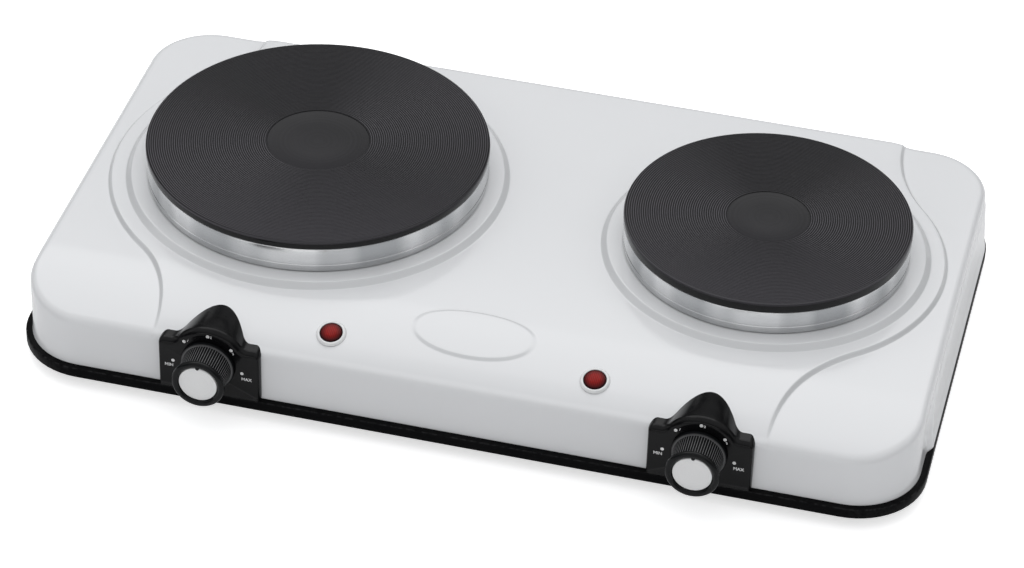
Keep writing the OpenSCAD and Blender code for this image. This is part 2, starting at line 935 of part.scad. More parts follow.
placed() thermostat(-1);  // left_thermostat
placed() thermostat(1);  // right_thermostat
placed() thermostat_bracket(-1);  // left_thermostat_bracket
placed() thermostat_bracket(1);  // right_thermostat_bracket
placed() thermostat_screws();
placed() lamp_collar(-1);  // left_lamp_collar
placed() lamp_collar(1);  // right_lamp_collar
placed() lamp_lens(-1);  // left_lamp_lens
placed() lamp_lens(1);  // right_lamp_lens
placed() lamp_body(-1);  // left_lamp_body
placed() lamp_body(1);  // right_lamp_body
placed() cord_gland();
placed() mains_terminal();
placed() earth_stud();
placed() internal_leads();
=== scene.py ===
import math

import bpy
from mathutils import Euler, Matrix, Vector


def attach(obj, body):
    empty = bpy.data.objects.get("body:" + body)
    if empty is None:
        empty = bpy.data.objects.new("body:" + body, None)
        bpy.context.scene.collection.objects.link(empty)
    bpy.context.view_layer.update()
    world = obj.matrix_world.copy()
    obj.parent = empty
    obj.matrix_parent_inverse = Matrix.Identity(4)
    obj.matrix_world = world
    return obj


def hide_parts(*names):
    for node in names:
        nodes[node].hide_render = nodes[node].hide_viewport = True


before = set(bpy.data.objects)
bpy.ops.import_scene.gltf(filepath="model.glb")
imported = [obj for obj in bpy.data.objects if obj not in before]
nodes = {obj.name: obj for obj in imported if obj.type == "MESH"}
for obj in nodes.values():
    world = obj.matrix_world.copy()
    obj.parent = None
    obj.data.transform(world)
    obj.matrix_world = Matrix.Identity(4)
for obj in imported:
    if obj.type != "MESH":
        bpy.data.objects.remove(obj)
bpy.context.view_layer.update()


# small helpers

def mm(value):
    return value / 1000.0


def mix(a, b, t):
    return a + (b - a) * t


def ease(t):
    t = min(1.0, max(0.0, t))
    return t * t * (3 - 2 * t)


def setMode(mode):
    bpy.ops.object.mode_set(mode=mode)


def selectAll(action="SELECT"):
    bpy.ops.mesh.select_all(action=action)


def extrude(x, y, z):
    bpy.ops.mesh.extrude_region_move(TRANSFORM_OT_translate={"value": (x, y, z)})


def clearSelection():
    if bpy.context.object and bpy.context.object.mode != "OBJECT":
        setMode("OBJECT")
    bpy.ops.object.select_all(action="DESELECT")


def pick(piece):
    clearSelection()
    piece.select_set(True)
    bpy.context.view_layer.objects.active = piece


def applyModifiers(piece):
    pick(piece)
    for modifier in list(piece.modifiers):
        bpy.ops.object.modifier_apply(modifier=modifier.name)


def joinPieces(pieces, name):
    pick(pieces[0])
    for piece in pieces:
        piece.select_set(True)
    bpy.ops.object.join()
    pieces[0].name = name
    return pieces[0]


def placePiece(piece, location=(0, 0, 0), turn=(0, 0, 0)):
    piece.location = location
    piece.rotation_euler = turn
    pick(piece)
    bpy.ops.object.transform_apply(location=True, rotation=True, scale=True)


def fixNormals(piece, merge=0.0000005):
    pick(piece)
    setMode("EDIT")
    selectAll()
    bpy.ops.mesh.remove_doubles(threshold=merge)
    bpy.ops.mesh.normals_make_consistent(inside=False)
    setMode("OBJECT")


def softShade(piece, angle=35):
    pick(piece)
    bpy.ops.object.shade_smooth_by_angle(angle=math.radians(angle))


def bevelPiece(piece, width, segments=2, angle=30):
    soft = piece.modifiers.new("softEdge", "BEVEL")
    soft.width = mm(width)
    soft.segments = segments
    soft.limit_method = "ANGLE"
    soft.angle_limit = math.radians(angle)
    applyModifiers(piece)


def booleanPiece(piece, other, operation):
    change = piece.modifiers.new("change", "BOOLEAN")
    change.operation = operation
    change.solver = "EXACT"
    change.object = other
    applyModifiers(piece)
    bpy.data.objects.remove(other)


# a profile of (radius, height) points in mm, extruded point by point and spun about Z
def spinProfile(name, profile, steps, closed=False):
    clearSelection()
    bpy.ops.mesh.primitive_plane_add(size=0.001, location=(0, 0, 0))
    piece = bpy.context.object
    piece.name = name
    for corner in piece.data.vertices:
        corner.co = (mm(profile[0][0]), 0, mm(profile[0][1]))
    setMode("EDIT")
    bpy.ops.mesh.select_mode(type="VERT")
    selectAll()
    bpy.ops.mesh.merge(type="CENTER")
    for (r0, z0), (r1, z1) in zip(profile, profile[1:] + (profile[:1] if closed else [])):
        extrude(mm(r1 - r0), 0, mm(z1 - z0))
    selectAll()
    bpy.ops.mesh.spin(steps=steps, angle=2 * math.pi, center=(0, 0, 0), axis=(0, 0, 1))
    selectAll()
    bpy.ops.mesh.remove_doubles(threshold=0.0000005)
    bpy.ops.mesh.normals_make_consistent(inside=False)
    setMode("OBJECT")
    return piece


# shader tools

def addNode(tree, kind, settings=None, values=None):
    node = tree.nodes.new(kind)
    for key, value in (settings or {}).items():
        setattr(node, key, value)
    for key, value in (values or {}).items():
        if hasattr(value, "is_output"):
            tree.links.new(value, node.inputs[key])
        else:
            node.inputs[key].default_value = value
    return node


def mathOf(tree, operation, *values):
    node = addNode(tree, "ShaderNodeMath", {"operation": operation}, dict(enumerate(values)))
    return node.outputs[0]


def productOf(tree, result, *values):
    for value in values:
        result = mathOf(tree, "MULTIPLY", result, value)
    return result


def vectorOf(tree, operation, *values):
    node = addNode(tree, "ShaderNodeVectorMath", {"operation": operation}, dict(enumerate(values)))
    return node.outputs["Value" if operation == "LENGTH" else "Vector"]


def axesOf(tree, vector):
    return addNode(tree, "ShaderNodeSeparateXYZ", {}, {0: vector}).outputs


def noiseOf(tree, vector, scale, detail, roughness):
    return addNode(tree, "ShaderNodeTexNoise", {}, {
        "Vector": vector, "Scale": scale, "Detail": detail, "Roughness": roughness}).outputs["Fac"]


def rangeOf(tree, value, low, high, start=0.3, end=0.7, kind="LINEAR"):
    node = addNode(tree, "ShaderNodeMapRange", {"interpolation_type": kind}, {
        "Value": value, "From Min": start, "From Max": end, "To Min": low, "To Max": high})
    return node.outputs[0]


def maskOf(tree, value, start, end, kind="LINEAR"):
    return rangeOf(tree, value, 0.0, 1.0, start, end, kind)


def newGroup(name, floats, outputs, vectors=("Vector",)):
    group = bpy.data.node_groups.new(name, "ShaderNodeTree")
    sockets = [(label, "INPUT", "Vector") for label in vectors]
    sockets += [(label, "INPUT", "Float") for label in floats]
    sockets += [(label, "OUTPUT", "Float") for label in outputs]
    for label, way, kind in sockets:
        socket = group.interface.new_socket(name=label, in_out=way, socket_type="NodeSocket" + kind)
        if label in floats:
            socket.default_value = floats[label]
    return group, group.nodes.new("NodeGroupInput").outputs


def closeGroup(group, values):
    result = group.nodes.new("NodeGroupOutput")
    for label, value in values.items():
        group.links.new(value, result.inputs[label])
    return group


# two sizes of noise for moulded, cast and painted skins
def makeSkinGrain():
    group, source = newGroup("skinGrain", {"Fine": 900.0, "Coarse": 60.0}, ["Height", "Patches"])
    fine = noiseOf(group, source["Vector"], source["Fine"], 3.0, 0.55)
    coarse = noiseOf(group, source["Vector"], source["Coarse"], 2.0, 0.5)
    return closeGroup(group, {"Height": fine, "Patches": coarse})


# rings cut by a lathe, seen along Z of the given vector
def makeTurnedRings():
    group, source = newGroup("turnedRings", {"Pitch": 0.0012}, ["Height", "Radius", "Tone"])
    flat = vectorOf(group, "MULTIPLY", source["Vector"], (1.0, 1.0, 0.0))
    length = vectorOf(group, "LENGTH", flat)
    turns = mathOf(group, "DIVIDE", length, source["Pitch"])
    angle = mathOf(group, "MULTIPLY", turns, 2 * math.pi)
    wave = mathOf(group, "SINE", angle)
    tone = addNode(group, "ShaderNodeTexNoise", {"noise_dimensions": "1D"},
                   {"W": turns, "Scale": 0.9, "Detail": 2.0})
    return closeGroup(group, {"Height": wave, "Radius": length, "Tone": tone.outputs["Fac"]})


# fine lines that run round a band, as rolling and brushing leave them
def makeBandBrush():
    group, source = newGroup("bandBrush", {"Lines": 2600.0}, ["Height", "Streaks"])
    split = axesOf(group, source["Vector"])
    turn = mathOf(group, "ARCTAN2", split[1], split[0])
    lines = mathOf(group, "MULTIPLY", split[2], source["Lines"])
    spot = addNode(group, "ShaderNodeCombineXYZ", {}, {0: turn, 1: lines})
    brush = noiseOf(group, spot.outputs[0], 2.0, 3.0, 0.6)
    around = addNode(group, "ShaderNodeCombineXYZ", {}, {0: turn})
    streaks = noiseOf(group, around.outputs[0], 1.7, 2.0, 0.5)
    return closeGroup(group, {"Height": brush, "Streaks": streaks})


# thin dust that settles on what faces up
def makeDustFall():
    group, source = newGroup("dustFall", {"Amount": 0.1}, ["Mask"])
    facing = addNode(group, "ShaderNodeNewGeometry")
    split = axesOf(group, facing.outputs["Normal"])
    up = maskOf(group, split[2], 0.3, 1.0)
    specks = noiseOf(group, source["Vector"], 220.0, 5.0, 0.7)
    sharp = maskOf(group, specks, 0.45, 0.8)
    return closeGroup(group, {"Mask": productOf(group, up, sharp, source["Amount"])})


# worn tone on convex edges, broken up by noise; on the tray the pale edge tone is also a painted
# highlight
def makeEdgeWearAndHighlight():
    group, source = newGroup("edgeWearAndHighlight", {"Amount": 0.5}, ["Mask"])
    shape = addNode(group, "ShaderNodeNewGeometry")
    edge = maskOf(group, shape.outputs["Pointiness"], 0.53, 0.62)
    broken = noiseOf(group, source["Vector"], 480.0, 3.0, 0.6)
    chips = maskOf(group, broken, 0.4, 0.65)
    return closeGroup(group, {"Mask": productOf(group, edge, chips, source["Amount"])})


# painted shade: slopes between level faces and walls are drawn in a darker tone, where less light
# falls on them
def makePaintedSlopeShade():
    group, source = newGroup("paintedSlopeShade", {"Corner": 0.035, "Amount": 1.0}, ["Mask"],
                             ("Vector", "Inner"))
    # no mask on the rounded border: distance from the inner rectangle against the corner radius
    folded = vectorOf(group, "ABSOLUTE", source["Vector"])
    past = vectorOf(group, "SUBTRACT", folded, source["Inner"])
    outer = vectorOf(group, "MAXIMUM", past, (0, 0, 0))
    away = vectorOf(group, "LENGTH", outer)
    left = mathOf(group, "SUBTRACT", source["Corner"], away)
    within = maskOf(group, left, 0.0034, 0.005)
    facing = addNode(group, "ShaderNodeNewGeometry")
    split = axesOf(group, facing.outputs["Normal"])
    tipped = maskOf(group, split[2], 0.93, 0.86, "SMOOTHSTEP")
    above = maskOf(group, split[2], 0.4, 0.58, "SMOOTHSTEP")
    return closeGroup(group, {"Mask": productOf(group, tipped, above, within, source["Amount"])})


skinGrain = makeSkinGrain()
edgeWearAndHighlight = makeEdgeWearAndHighlight()
paintedSlopeShade = makePaintedSlopeShade()
turnedRings = makeTurnedRings()
bandBrush = makeBandBrush()
dustFall = makeDustFall()


def startFinish(name, constants):
    finish = bpy.data.materials.new(name)
    finish.use_nodes = True
    tree = finish.node_tree
    shader = tree.nodes["Principled BSDF"]
    for key, value in constants.items():
        shader.inputs[key].default_value = value
    place = addNode(tree, "ShaderNodeTexCoord").outputs["Object"]
    return finish, tree, shader, place


def centredOn(tree, place, centre, turn=(0, 0, 0)):
    shift = vectorOf(tree, "SUBTRACT", place, centre)
    if turn == (0, 0, 0):
        return shift
    return addNode(tree, "ShaderNodeMapping", {"vector_type": "POINT"},
                   {"Vector": shift, "Rotation": turn}).outputs[0]


def groupNode(tree, group, values):
    return addNode(tree, "ShaderNodeGroup", {"node_tree": group}, values).outputs


def grainOf(tree, place, fine, coarse):
    return groupNode(tree, skinGrain, {"Vector": place, "Fine": fine, "Coarse": coarse})


def mixColour(tree, factor, *colours):
    first, second = (c if hasattr(c, "is_output") else (*c, 1) for c in colours)
    return addNode(tree, "ShaderNodeMix", {"data_type": "RGBA"},
                   {0: factor, 6: first, 7: second}).outputs[2]


def bumpOf(tree, shader, height, strength, distance):
    bump = addNode(tree, "ShaderNodeBump", {}, {
        "Height": height, "Strength": strength, "Distance": distance})
    tree.links.new(bump.outputs[0], shader.inputs["Normal"])


# a skin of two close tones with grain, patches of gloss and a little dust
def skinFinish(name, spec):
    finish, tree, shader, place = startFinish(name, spec.get("constants", {}))
    shader.inputs["Metallic"].default_value = spec.get("metallic", 0.0)
    grain = grainOf(tree, place, spec["fine"], spec["coarse"])
    dust = groupNode(tree, dustFall, {"Vector": place, "Amount": spec.get("dust", 0.03)})
    tones = rangeOf(tree, grain["Patches"], 0.0, 1.0)
    body = mixColour(tree, tones, spec["tone"], spec["toneTwo"])
    # edge tone: wear, and on the tray also a painted highlight along its edges
    wearAndHighlight = groupNode(tree, edgeWearAndHighlight, {"Vector": place, "Amount": spec.get("wearAndHighlight", 0.3)})
    worn = mixColour(tree, wearAndHighlight["Mask"], body, spec.get("wornTone", (0.1, 0.1, 0.1)))
    dusty = mixColour(tree, dust["Mask"], worn, (0.62, 0.6, 0.57))
    # painted shade: the pressed slopes of the top get a darker tone
    if "slope" in spec:
        corner = housing["corner"]
        inner = (mm(housing["halfX"] - corner), mm(housing["halfY"] - corner), 1.0)
        slopeShadeMask = groupNode(tree, paintedSlopeShade, {
            "Vector": centredOn(tree, place, (0, mm(housing["middleY"]), 0)), "Inner": inner,
            "Corner": mm(corner), "Amount": spec["slope"]})
        dusty = mixColour(tree, slopeShadeMask["Mask"], dusty, spec["slopeShadeTone"])
    tree.links.new(dusty, shader.inputs["Base Color"])
    tree.links.new(rangeOf(tree, grain["Patches"], *spec["gloss"]), shader.inputs["Roughness"])
    bumpOf(tree, shader, grain["Height"], spec["bump"], spec.get("depth", 0.0001))
    return finish


# bare metal turned about an axis, with fine cut rings
def turnedFinish(name, spec, centre, turn=(0, 0, 0)):
    finish, tree, shader, place = startFinish(name, {})
    shader.inputs["Metallic"].default_value = spec["metallic"]
    local = centredOn(tree, place, centre, turn)
    rings = groupNode(tree, turnedRings, {"Vector": local, "Pitch": spec["pitch"]})
    grain = grainOf(tree, place, 2200.0, 90.0)
    tone = mixColour(tree, rangeOf(tree, rings["Tone"], 0.0, 1.0),
                     spec["tone"], spec["toneTwo"])
    tree.links.new(tone, shader.inputs["Base Color"])
    tree.links.new(rangeOf(tree, grain["Patches"], *spec["gloss"]), shader.inputs["Roughness"])
    both = mathOf(tree, "MULTIPLY_ADD", rings["Height"], spec["ringShare"], grain["Height"])
    bumpOf(tree, shader, both, spec["bump"], spec["depth"])
    return finish


def dress(piece, finish):
    piece.data.materials.clear()
    piece.data.materials.append(finish)


def keepPiece(piece, finish, body, slot, *stands):
    dress(piece, finish)
    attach(piece, body)
    if stands:
        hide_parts(*stands)


# camera, floor and light

view = {"azimuth": 13.083, "elevation": 37.499, "roll": 1.872, "lens": 136.36,
        "place": (0.38022, -1.63423, 1.30636)}

bpy.ops.object.camera_add(location=view["place"])
camera = bpy.context.object
aim = Euler((math.radians(90 - view["elevation"]), 0, math.radians(view["azimuth"]))).to_matrix()
camera.rotation_euler = (aim @ Matrix.Rotation(math.radians(view["roll"]), 3, "Z")).to_euler()
camera.data.lens = view["lens"]
camera.data.sensor_width = 36
camera.data.clip_start = 0.05
bpy.context.scene.camera = camera
bpy.context.scene.view_settings.view_transform = "Standard"

studio = {
    "floor": (0.9, 0.9, 0.905), "floorLift": 0.62, "mirrorShare": 0.15, "floorSize": 3.0,
    "domeLow": 0.06, "domeHigh": 0.9, "domeFrom": 0.22, "domeTo": 0.8, "shown": 1.0,
    "skyTint": (0.98, 0.99, 1.0, 1),
    # place, target, width, height and power
    "boxes": {
        "overheadBox": ((-0.3, 1.1, 2.0), (0, 0, 0), 2.6, 1.8, 17.5),
        "leftBox": ((-1.7, -0.3, 0.7), (0, 0, 0.03), 0.8, 0.8, 1.2),
        "rightBox": ((1.8, -0.4, 0.6), (0, 0, 0.03), 0.9, 0.8, 1.1),
        "frontBox": ((-0.2, -2.2, 0.45), (0, 0, 0.03), 2.2, 0.5, 4.9)},
}


def makeStage():
    clearSelection()
    bpy.ops.mesh.primitive_plane_add(size=studio["floorSize"], location=(0, 0.2, 0))
    floor = bpy.context.object
    floor.name = "studioFloor"
    finish = bpy.data.materials.new("paleFloor")
    finish.use_nodes = True
    tree = finish.node_tree
    shader = tree.nodes["Principled BSDF"]
    shader.inputs["Base Color"].default_value = (*studio["floor"], 1)
    shader.inputs["Roughness"].default_value = 0.9
    shader.inputs["Specular IOR Level"].default_value = 0.1
    rays = addNode(tree, "ShaderNodeLightPath")
    mirrored = mathOf(tree, "MULTIPLY", rays.outputs["Is Glossy Ray"], studio["mirrorShare"])
    shown = mathOf(tree, "MAXIMUM", rays.outputs["Is Camera Ray"], mirrored)
    through = mathOf(tree, "MAXIMUM", shown, rays.outputs["Is Transmission Ray"])
    seen = mathOf(tree, "MULTIPLY", through, studio["floorLift"])
    shader.inputs["Emission Color"].default_value = (1, 1, 1, 1)
    tree.links.new(seen, shader.inputs["Emission Strength"])
    dress(floor, finish)

    world = bpy.data.worlds.new("studioWorld")
    bpy.context.scene.world = world
    world.use_nodes = True
    sky = world.node_tree
    back = sky.nodes["Background"]
    rays = addNode(sky, "ShaderNodeLightPath")
    shown = mathOf(sky, "MAXIMUM", rays.outputs["Is Camera Ray"],
                   rays.outputs["Is Transmission Ray"])
    look = axesOf(sky, addNode(sky, "ShaderNodeTexCoord").outputs["Generated"])
    dome = rangeOf(sky, look[2], studio["domeLow"], studio["domeHigh"], studio["domeFrom"],
                   studio["domeTo"], "SMOOTHSTEP")
    level = addNode(sky, "ShaderNodeMix", {"data_type": "FLOAT"}, {
        0: shown, 2: dome, 3: studio["shown"]})
    sky.links.new(level.outputs[0], back.inputs["Strength"])
    back.inputs["Color"].default_value = studio["skyTint"]


def addSoftbox(name, place, target, width, height, power):
    bpy.ops.object.light_add(type="AREA", location=place)
    lamp = bpy.context.object
    lamp.name = name
    lamp.data.shape = "RECTANGLE"
    lamp.data.size = width
    lamp.data.size_y = height
    lamp.data.energy = power
    lamp.rotation_euler = (Vector(target) - Vector(place)).to_track_quat("-Z", "Y").to_euler()


makeStage()
for name, values in studio["boxes"].items():
    addSoftbox(name, *values)
print("stage and light set")


# white pressed housing

housing = {
    "halfX": 241.0, "halfY": 134.0, "corner": 35.0, "bottom": 13.3, "sheet": 1.0, "middleY": 9.5,
    "columns": 262, "rows": 142, "shoulder": 8.0, "creaseSoft": 2.2, "endSoft": 3.6,
    "sideSoft": 4.2, "rearSoft": 4.6, "curl": 0.5, "crease": 42.0, "rollRun": 50.0,
    "endLevel": 52.0, "panelLevel": 54.5, "stepWidth": 2.0, "stepRear": 15.0, "rearShare": 0.6,
    "rearFrom": 96.0, "rearOver": 34.0, "frontRun": -143.0, "rearRun": 118.0,
    "seatRise": 3.0, "seatWidth": 8.0, "seatBand": 3.6, "holeIn": 9.0,
    "ovalX": 2.0, "ovalY": -100.0, "ovalLong": 30.2, "ovalWide": 14.9, "ovalPower": 2.15,
    "ovalRise": 0.8, "ovalBand": 1.9,
    "bulgeReach": 2.9, "bulgeHalf": 83.0, "bulgeTop": 45.0, "bulgeLip": 0.25, "bulgeStart": 7.0,
    "walls": (0.03, 0.06, 0.1, 0.14, 0.19, 0.25, 0.34, 0.5, 0.72, 0.93, 0.96, 0.98, 1.0),
}
plates = {
    "large": {"x": -116.0, "side": -1, "radius": 94.0, "rim": 72.3, "centre": 28.0,
              "swell": 114.0, "front": 47.3, "rear": 66.0, "lit": 34.0},
    "small": {"x": 134.7, "side": 1, "radius": 77.5, "rim": 71.3, "centre": 22.5,
              "swell": 97.0, "front": 30.0, "rear": 55.5, "lit": 4.0},
}
plateY = 13.0
plateRow = plateY + housing["middleY"]


# distance inside the raised middle panel, positive on the panel
def panelDistance(x, y):
    spec = plates["small"] if x > 9 else plates["large"]
    u = (x - spec["x"]) * spec["side"]
    v = y - plateY
    end = "front" if v < 0 else "rear"
    run, offset = housing[end + "Run"], spec[end]
    swell = spec["swell"]
    waist = (offset * offset + run * run - swell * swell) / (2 * (swell - offset))
    cu, cv = offset + waist, run
    if abs(v) > abs(cv):
        return offset - u
    cross = u * cv - v * cu
    if u > 0 and cross * cv > 0:
        return swell - math.hypot(u, v)
    return math.hypot(u - cu, v - cv) - waist if u > 0 else 60.0


def rollDrop(level, y):
    drop = level - housing["crease"]
    run = housing["rollRun"]
    radius = (run * run + drop * drop) / (2 * drop)
    d = min(max(0.0, -y - (housing["halfY"] - run)), radius)
    return radius - math.sqrt(radius * radius - d * d)


def ovalDistance(x, y):
    power, wide = housing["ovalPower"], housing["ovalWide"]
    p, q = (x - housing["ovalX"]) / housing["ovalLong"], (y - housing["ovalY"]) / wide
    return (1 - (abs(p) ** power + abs(q) ** power) ** (1 / power)) * wide


# straight ramp with rounded ends
def ramp(t, soft=0.12):
    t = min(1.0, max(0.0, t))
    if t > 0.5:
        return 1 - ramp(1 - t, soft)
    slope = 1 / (1 - soft)
    return slope * t * t / (2 * soft) if t < soft else slope * (t - soft / 2)


# the step keeps its line and gives part of its height to a wide soft one at the rear edge
def stepShare(x, y):
    away = panelDistance(x, y)
    line = ramp(away / housing["stepWidth"] + 0.5)
    wide = ease(away / housing["stepRear"] + 0.5)
    late = ease((y - housing["rearFrom"]) / housing["rearOver"])
    return mix(line, wide, housing["rearShare"] * late)


def seatDistance(spec, x, y):
    return math.hypot(x - spec["x"], y - plateY) - spec["radius"] - housing["seatWidth"]


def pressedHeight(x, y):
    s = stepShare(x, y)
    z = mix(housing["endLevel"] - rollDrop(housing["endLevel"], y),
            housing["panelLevel"] - rollDrop(housing["panelLevel"], y), s)
    for spec in plates.values():
        away = seatDistance(spec, x, y)
        if away < housing["seatBand"]:
            seat = housing["panelLevel"] + housing["seatRise"]
            z = mix(seat, z, ramp(away / housing["seatBand"]))
    inside = ovalDistance(x, y)
    if inside > -housing["ovalBand"]:
        z += housing["ovalRise"] * ease((inside + housing["ovalBand"]) / housing["ovalBand"])
    return z, s


# plan place of a grid point: a rectangle whose corner squares are bent into quarter discs
def planPlace(a, b, inset):
    hx, hy = housing["halfX"] - inset, housing["halfY"] - inset
    radius = housing["corner"] - inset
    x, y = a * hx, b * hy
    p, q = (abs(x) - (hx - radius)) / radius, (abs(y) - (hy - radius)) / radius
    if p > 0 and q > 0:
        x = math.copysign(hx - radius + radius * p * math.sqrt(1 - q * q / 2), x)
        y = math.copysign(hy - radius + radius * q * math.sqrt(1 - p * p / 2), y)
    return x, y


def wallPlace(x, y, inset):
    hx, hy = housing["halfX"] - inset, housing["halfY"] - inset
    radius = housing["corner"] - inset
    cx, cy = abs(x) - (hx - radius), abs(y) - (hy - radius)
    if cx > 0 and cy > 0:
        length = math.hypot(cx, cy)
        return math.copysign(cx / length, x), math.copysign(cy / length, y)
    return (math.copysign(1, x), 0.0) if cx > cy else (0.0, math.copysign(1, y))


# side wall swelling, which starts abruptly in front and runs out round the rear corner
def sideBulge(y, z, nx):
    along = (ease((housing["bulgeHalf"] + y) / housing["bulgeStart"]) if y < 0
             else ease((abs(nx) - 0.2) / 0.5))
    depth = housing["bulgeTop"] - z
    slope = min(1.0, max(0.0, depth / (housing["bulgeTop"] - housing["bottom"])))
    return housing["bulgeReach"] * along * mix(slope, ease(depth / 4.0), housing["bulgeLip"])


# faces that a pressed edge runs through
def nearEdge(x, y, margin):
    if abs(panelDistance(x, y)) < housing["stepWidth"] / 2 + margin:
        return True
    if abs(ovalDistance(x, y) + housing["ovalBand"] / 2) < housing["ovalBand"] / 2 + margin:
        return True
    for spec in plates.values():
        away = seatDistance(spec, x, y)
        if -margin < away < housing["seatBand"] + margin:
            return True
    return False


def makeHousing():
    inset = housing["shoulder"]
    clearSelection()
    bpy.ops.mesh.primitive_grid_add(
        x_subdivisions=housing["columns"], y_subdivisions=housing["rows"], size=2)
    shell = bpy.context.object
    shell.name = "housingShell"
    mesh = shell.data
    for vertex in mesh.vertices:
        vertex.co = (*planPlace(vertex.co.x, vertex.co.y, inset), 0)
    # finer faces where a pressed edge runs
    for level in range(2):
        setMode("EDIT")
        bpy.ops.mesh.select_mode(type="FACE")
        selectAll("DESELECT")
        setMode("OBJECT")
        for polygon in mesh.polygons:
            polygon.select = nearEdge(polygon.center.x, polygon.center.y, 1.1 - 0.5 * level)
        setMode("EDIT")
        bpy.ops.mesh.subdivide(number_cuts=1)
    # shoulder, wall and turned-in edge are extruded ring by ring from the border
    rings = [("shoulder", math.radians(a)) for a in (9, 18, 27, 36, 45, 54, 63, 72, 81, 90)]
    rings += [("wall", t) for t in housing["walls"]]
    rings += [("fold", 0.0), ("fold", 5.0)]
    bpy.ops.mesh.select_mode(type="EDGE")
    selectAll()
    bpy.ops.mesh.region_to_loop()
    for ring in rings:
        extrude(0, 0, -100)
    selectAll("DESELECT")
    setMode("OBJECT")
    for vertex in mesh.vertices:
        level = round(-vertex.co.z / 100)
        if level > 0:
            vertex.co = ringPlace(vertex.co.x, vertex.co.y, inset, *rings[level - 1])
            continue
        vertex.co.z = pressedHeight(vertex.co.x, vertex.co.y)[0]
        for spec in plates.values():
            away = math.hypot(vertex.co.x - spec["x"], vertex.co.y - plateY)
            if away < spec["radius"] - housing["holeIn"]:
                vertex.select = True
    # the sheet is cut away under each cooking plate
    setMode("EDIT")
    bpy.ops.mesh.select_mode(type="VERT")
    bpy.ops.mesh.delete(type="VERT")
    selectAll()
    bpy.ops.mesh.region_to_loop()
    setMode("OBJECT")
    for vertex in mesh.vertices:
        for spec in plates.values() if vertex.select else ():
            u, v = vertex.co.x - spec["x"], vertex.co.y - plateY
            scale = (spec["radius"] - housing["holeIn"]) / math.hypot(u, v)
            if 0.9 < scale < 1:
                vertex.co.x, vertex.co.y = spec["x"] + u * scale, plateY + v * scale
    mesh.transform(Matrix.Scale(0.001, 4) @ Matrix.Translation((0, housing["middleY"], 0)))
    fixNormals(shell)
    softShade(shell, 75)
    return shell


# one point of a ring that grows out of the flat top: round shoulder, wall, then the inner fold
def ringPlace(x0, y0, inset, kind, value):
    nx, ny = wallPlace(x0, y0, inset)
    panel = pressedHeight(x0, y0)[1]
    front = mix(housing["endSoft"], housing["creaseSoft"], panel)
    soft = mix(housing["sideSoft"], front if ny < 0 else housing["rearSoft"], ease(abs(ny)))
    if kind == "shoulder":
        out = inset * math.sin(value)
        x, y = x0 + nx * out, y0 + ny * out
        rise = max(0.0, soft - (inset - out))
        return x, y, pressedHeight(x, y)[0] - soft + math.sqrt(max(0.0, soft * soft - rise * rise))
    x, y = x0 + nx * inset, y0 + ny * inset
    top = pressedHeight(x, y)[0] - soft
    z = mix(top, housing["bottom"], value) if kind == "wall" else housing["bottom"] + value
    swell = sideBulge(y, z, nx)
    curl = housing["curl"] * ease((value - 0.92) / 0.08) if kind == "wall" else 0.0
    inward = housing["sheet"] - housing["curl"] if kind == "fold" else 0.0
    out = swell + curl - inward
    return x + nx * out, y + ny * out, z


shell = makeHousing()
# the slope tone darkens the pressed slopes of the top as painted shade
enamel = skinFinish("whiteEnamel", {
    "tone": (0.77, 0.776, 0.79), "toneTwo": (0.78, 0.786, 0.8), "gloss": (0.2, 0.26),
    "fine": 420.0, "coarse": 14.0, "bump": 0.05, "depth": 0.00006, "dust": 0.015,
    "slope": 0.9, "slopeShadeTone": (0.675, 0.683, 0.695), "wearAndHighlight": 0.05, "wornTone": (0.6, 0.6, 0.6),
    "constants": {"Coat Weight": 0.45, "Coat Roughness": 0.12, "Specular IOR Level": 0.38,
                  "IOR": 1.5}})
keepPiece(shell, enamel, "base", "housing_enamel", "top_housing")
print("housing sheet pressed,", len(shell.data.polygons), "faces")


# black base tray

tray = {"halfX": 245.0, "halfY": 138.0, "corner": 39.0, "low": 7.0, "ledge": 13.3, "lipIn": 5.2,
        "lipWall": 1.8, "lip": 6.0, "floor": 8.5, "edge": 1.1,
        "slots": 8, "slotStart": 40, "slotPitch": 9, "slotBack": 10, "slotHalf": (1.5, 31.5, 1.49)}


def roundedPlate(name, halfX, halfY, corner, z, segments=14):
    bpy.ops.mesh.primitive_plane_add(size=2, location=(0, 0, 0))
    plate = bpy.context.object
    plate.name = name
    setMode("EDIT")
    bpy.ops.transform.resize(value=(mm(halfX), mm(halfY), 1))
    bpy.ops.transform.translate(value=(0, 0, mm(z)))
    bpy.ops.mesh.bevel(offset=mm(corner), segments=segments, affect="VERTICES")
    return plate


def liftFace(height):
    extrude(0, 0, mm(height))


def makeTray():
    clearSelection()
    pan = roundedPlate("trayPan", tray["halfX"], tray["halfY"], tray["corner"], tray["low"])
    liftFace(tray["ledge"] - tray["low"])
    bpy.ops.mesh.inset(thickness=mm(tray["lipIn"]))
    liftFace(tray["lip"])
    bpy.ops.mesh.inset(thickness=mm(tray["lipWall"]))
    liftFace(tray["floor"] - tray["ledge"] - tray["lip"])
    setMode("OBJECT")
    placePiece(pan, (0, mm(housing["middleY"]), 0))
    fixNormals(pan)
    bevelPiece(pan, tray["edge"], 3, 50)
    cutters = []
    for side in (-1, 1):
        for i in range(tray["slots"]):
            clearSelection()
            slot = roundedPlate("slot", *tray["slotHalf"], 5.0, 6)
            liftFace(6)
            setMode("OBJECT")
            x = side * (tray["slotStart"] + tray["slotPitch"] * i)
            placePiece(slot, (mm(x), mm(housing["middleY"] + tray["slotBack"]), 0))
            cutters.append(slot)
    cutter = joinPieces(cutters, "slotCutter")
    fixNormals(cutter)
    booleanPiece(pan, cutter, "DIFFERENCE")
    softShade(pan, 40)
    return pan
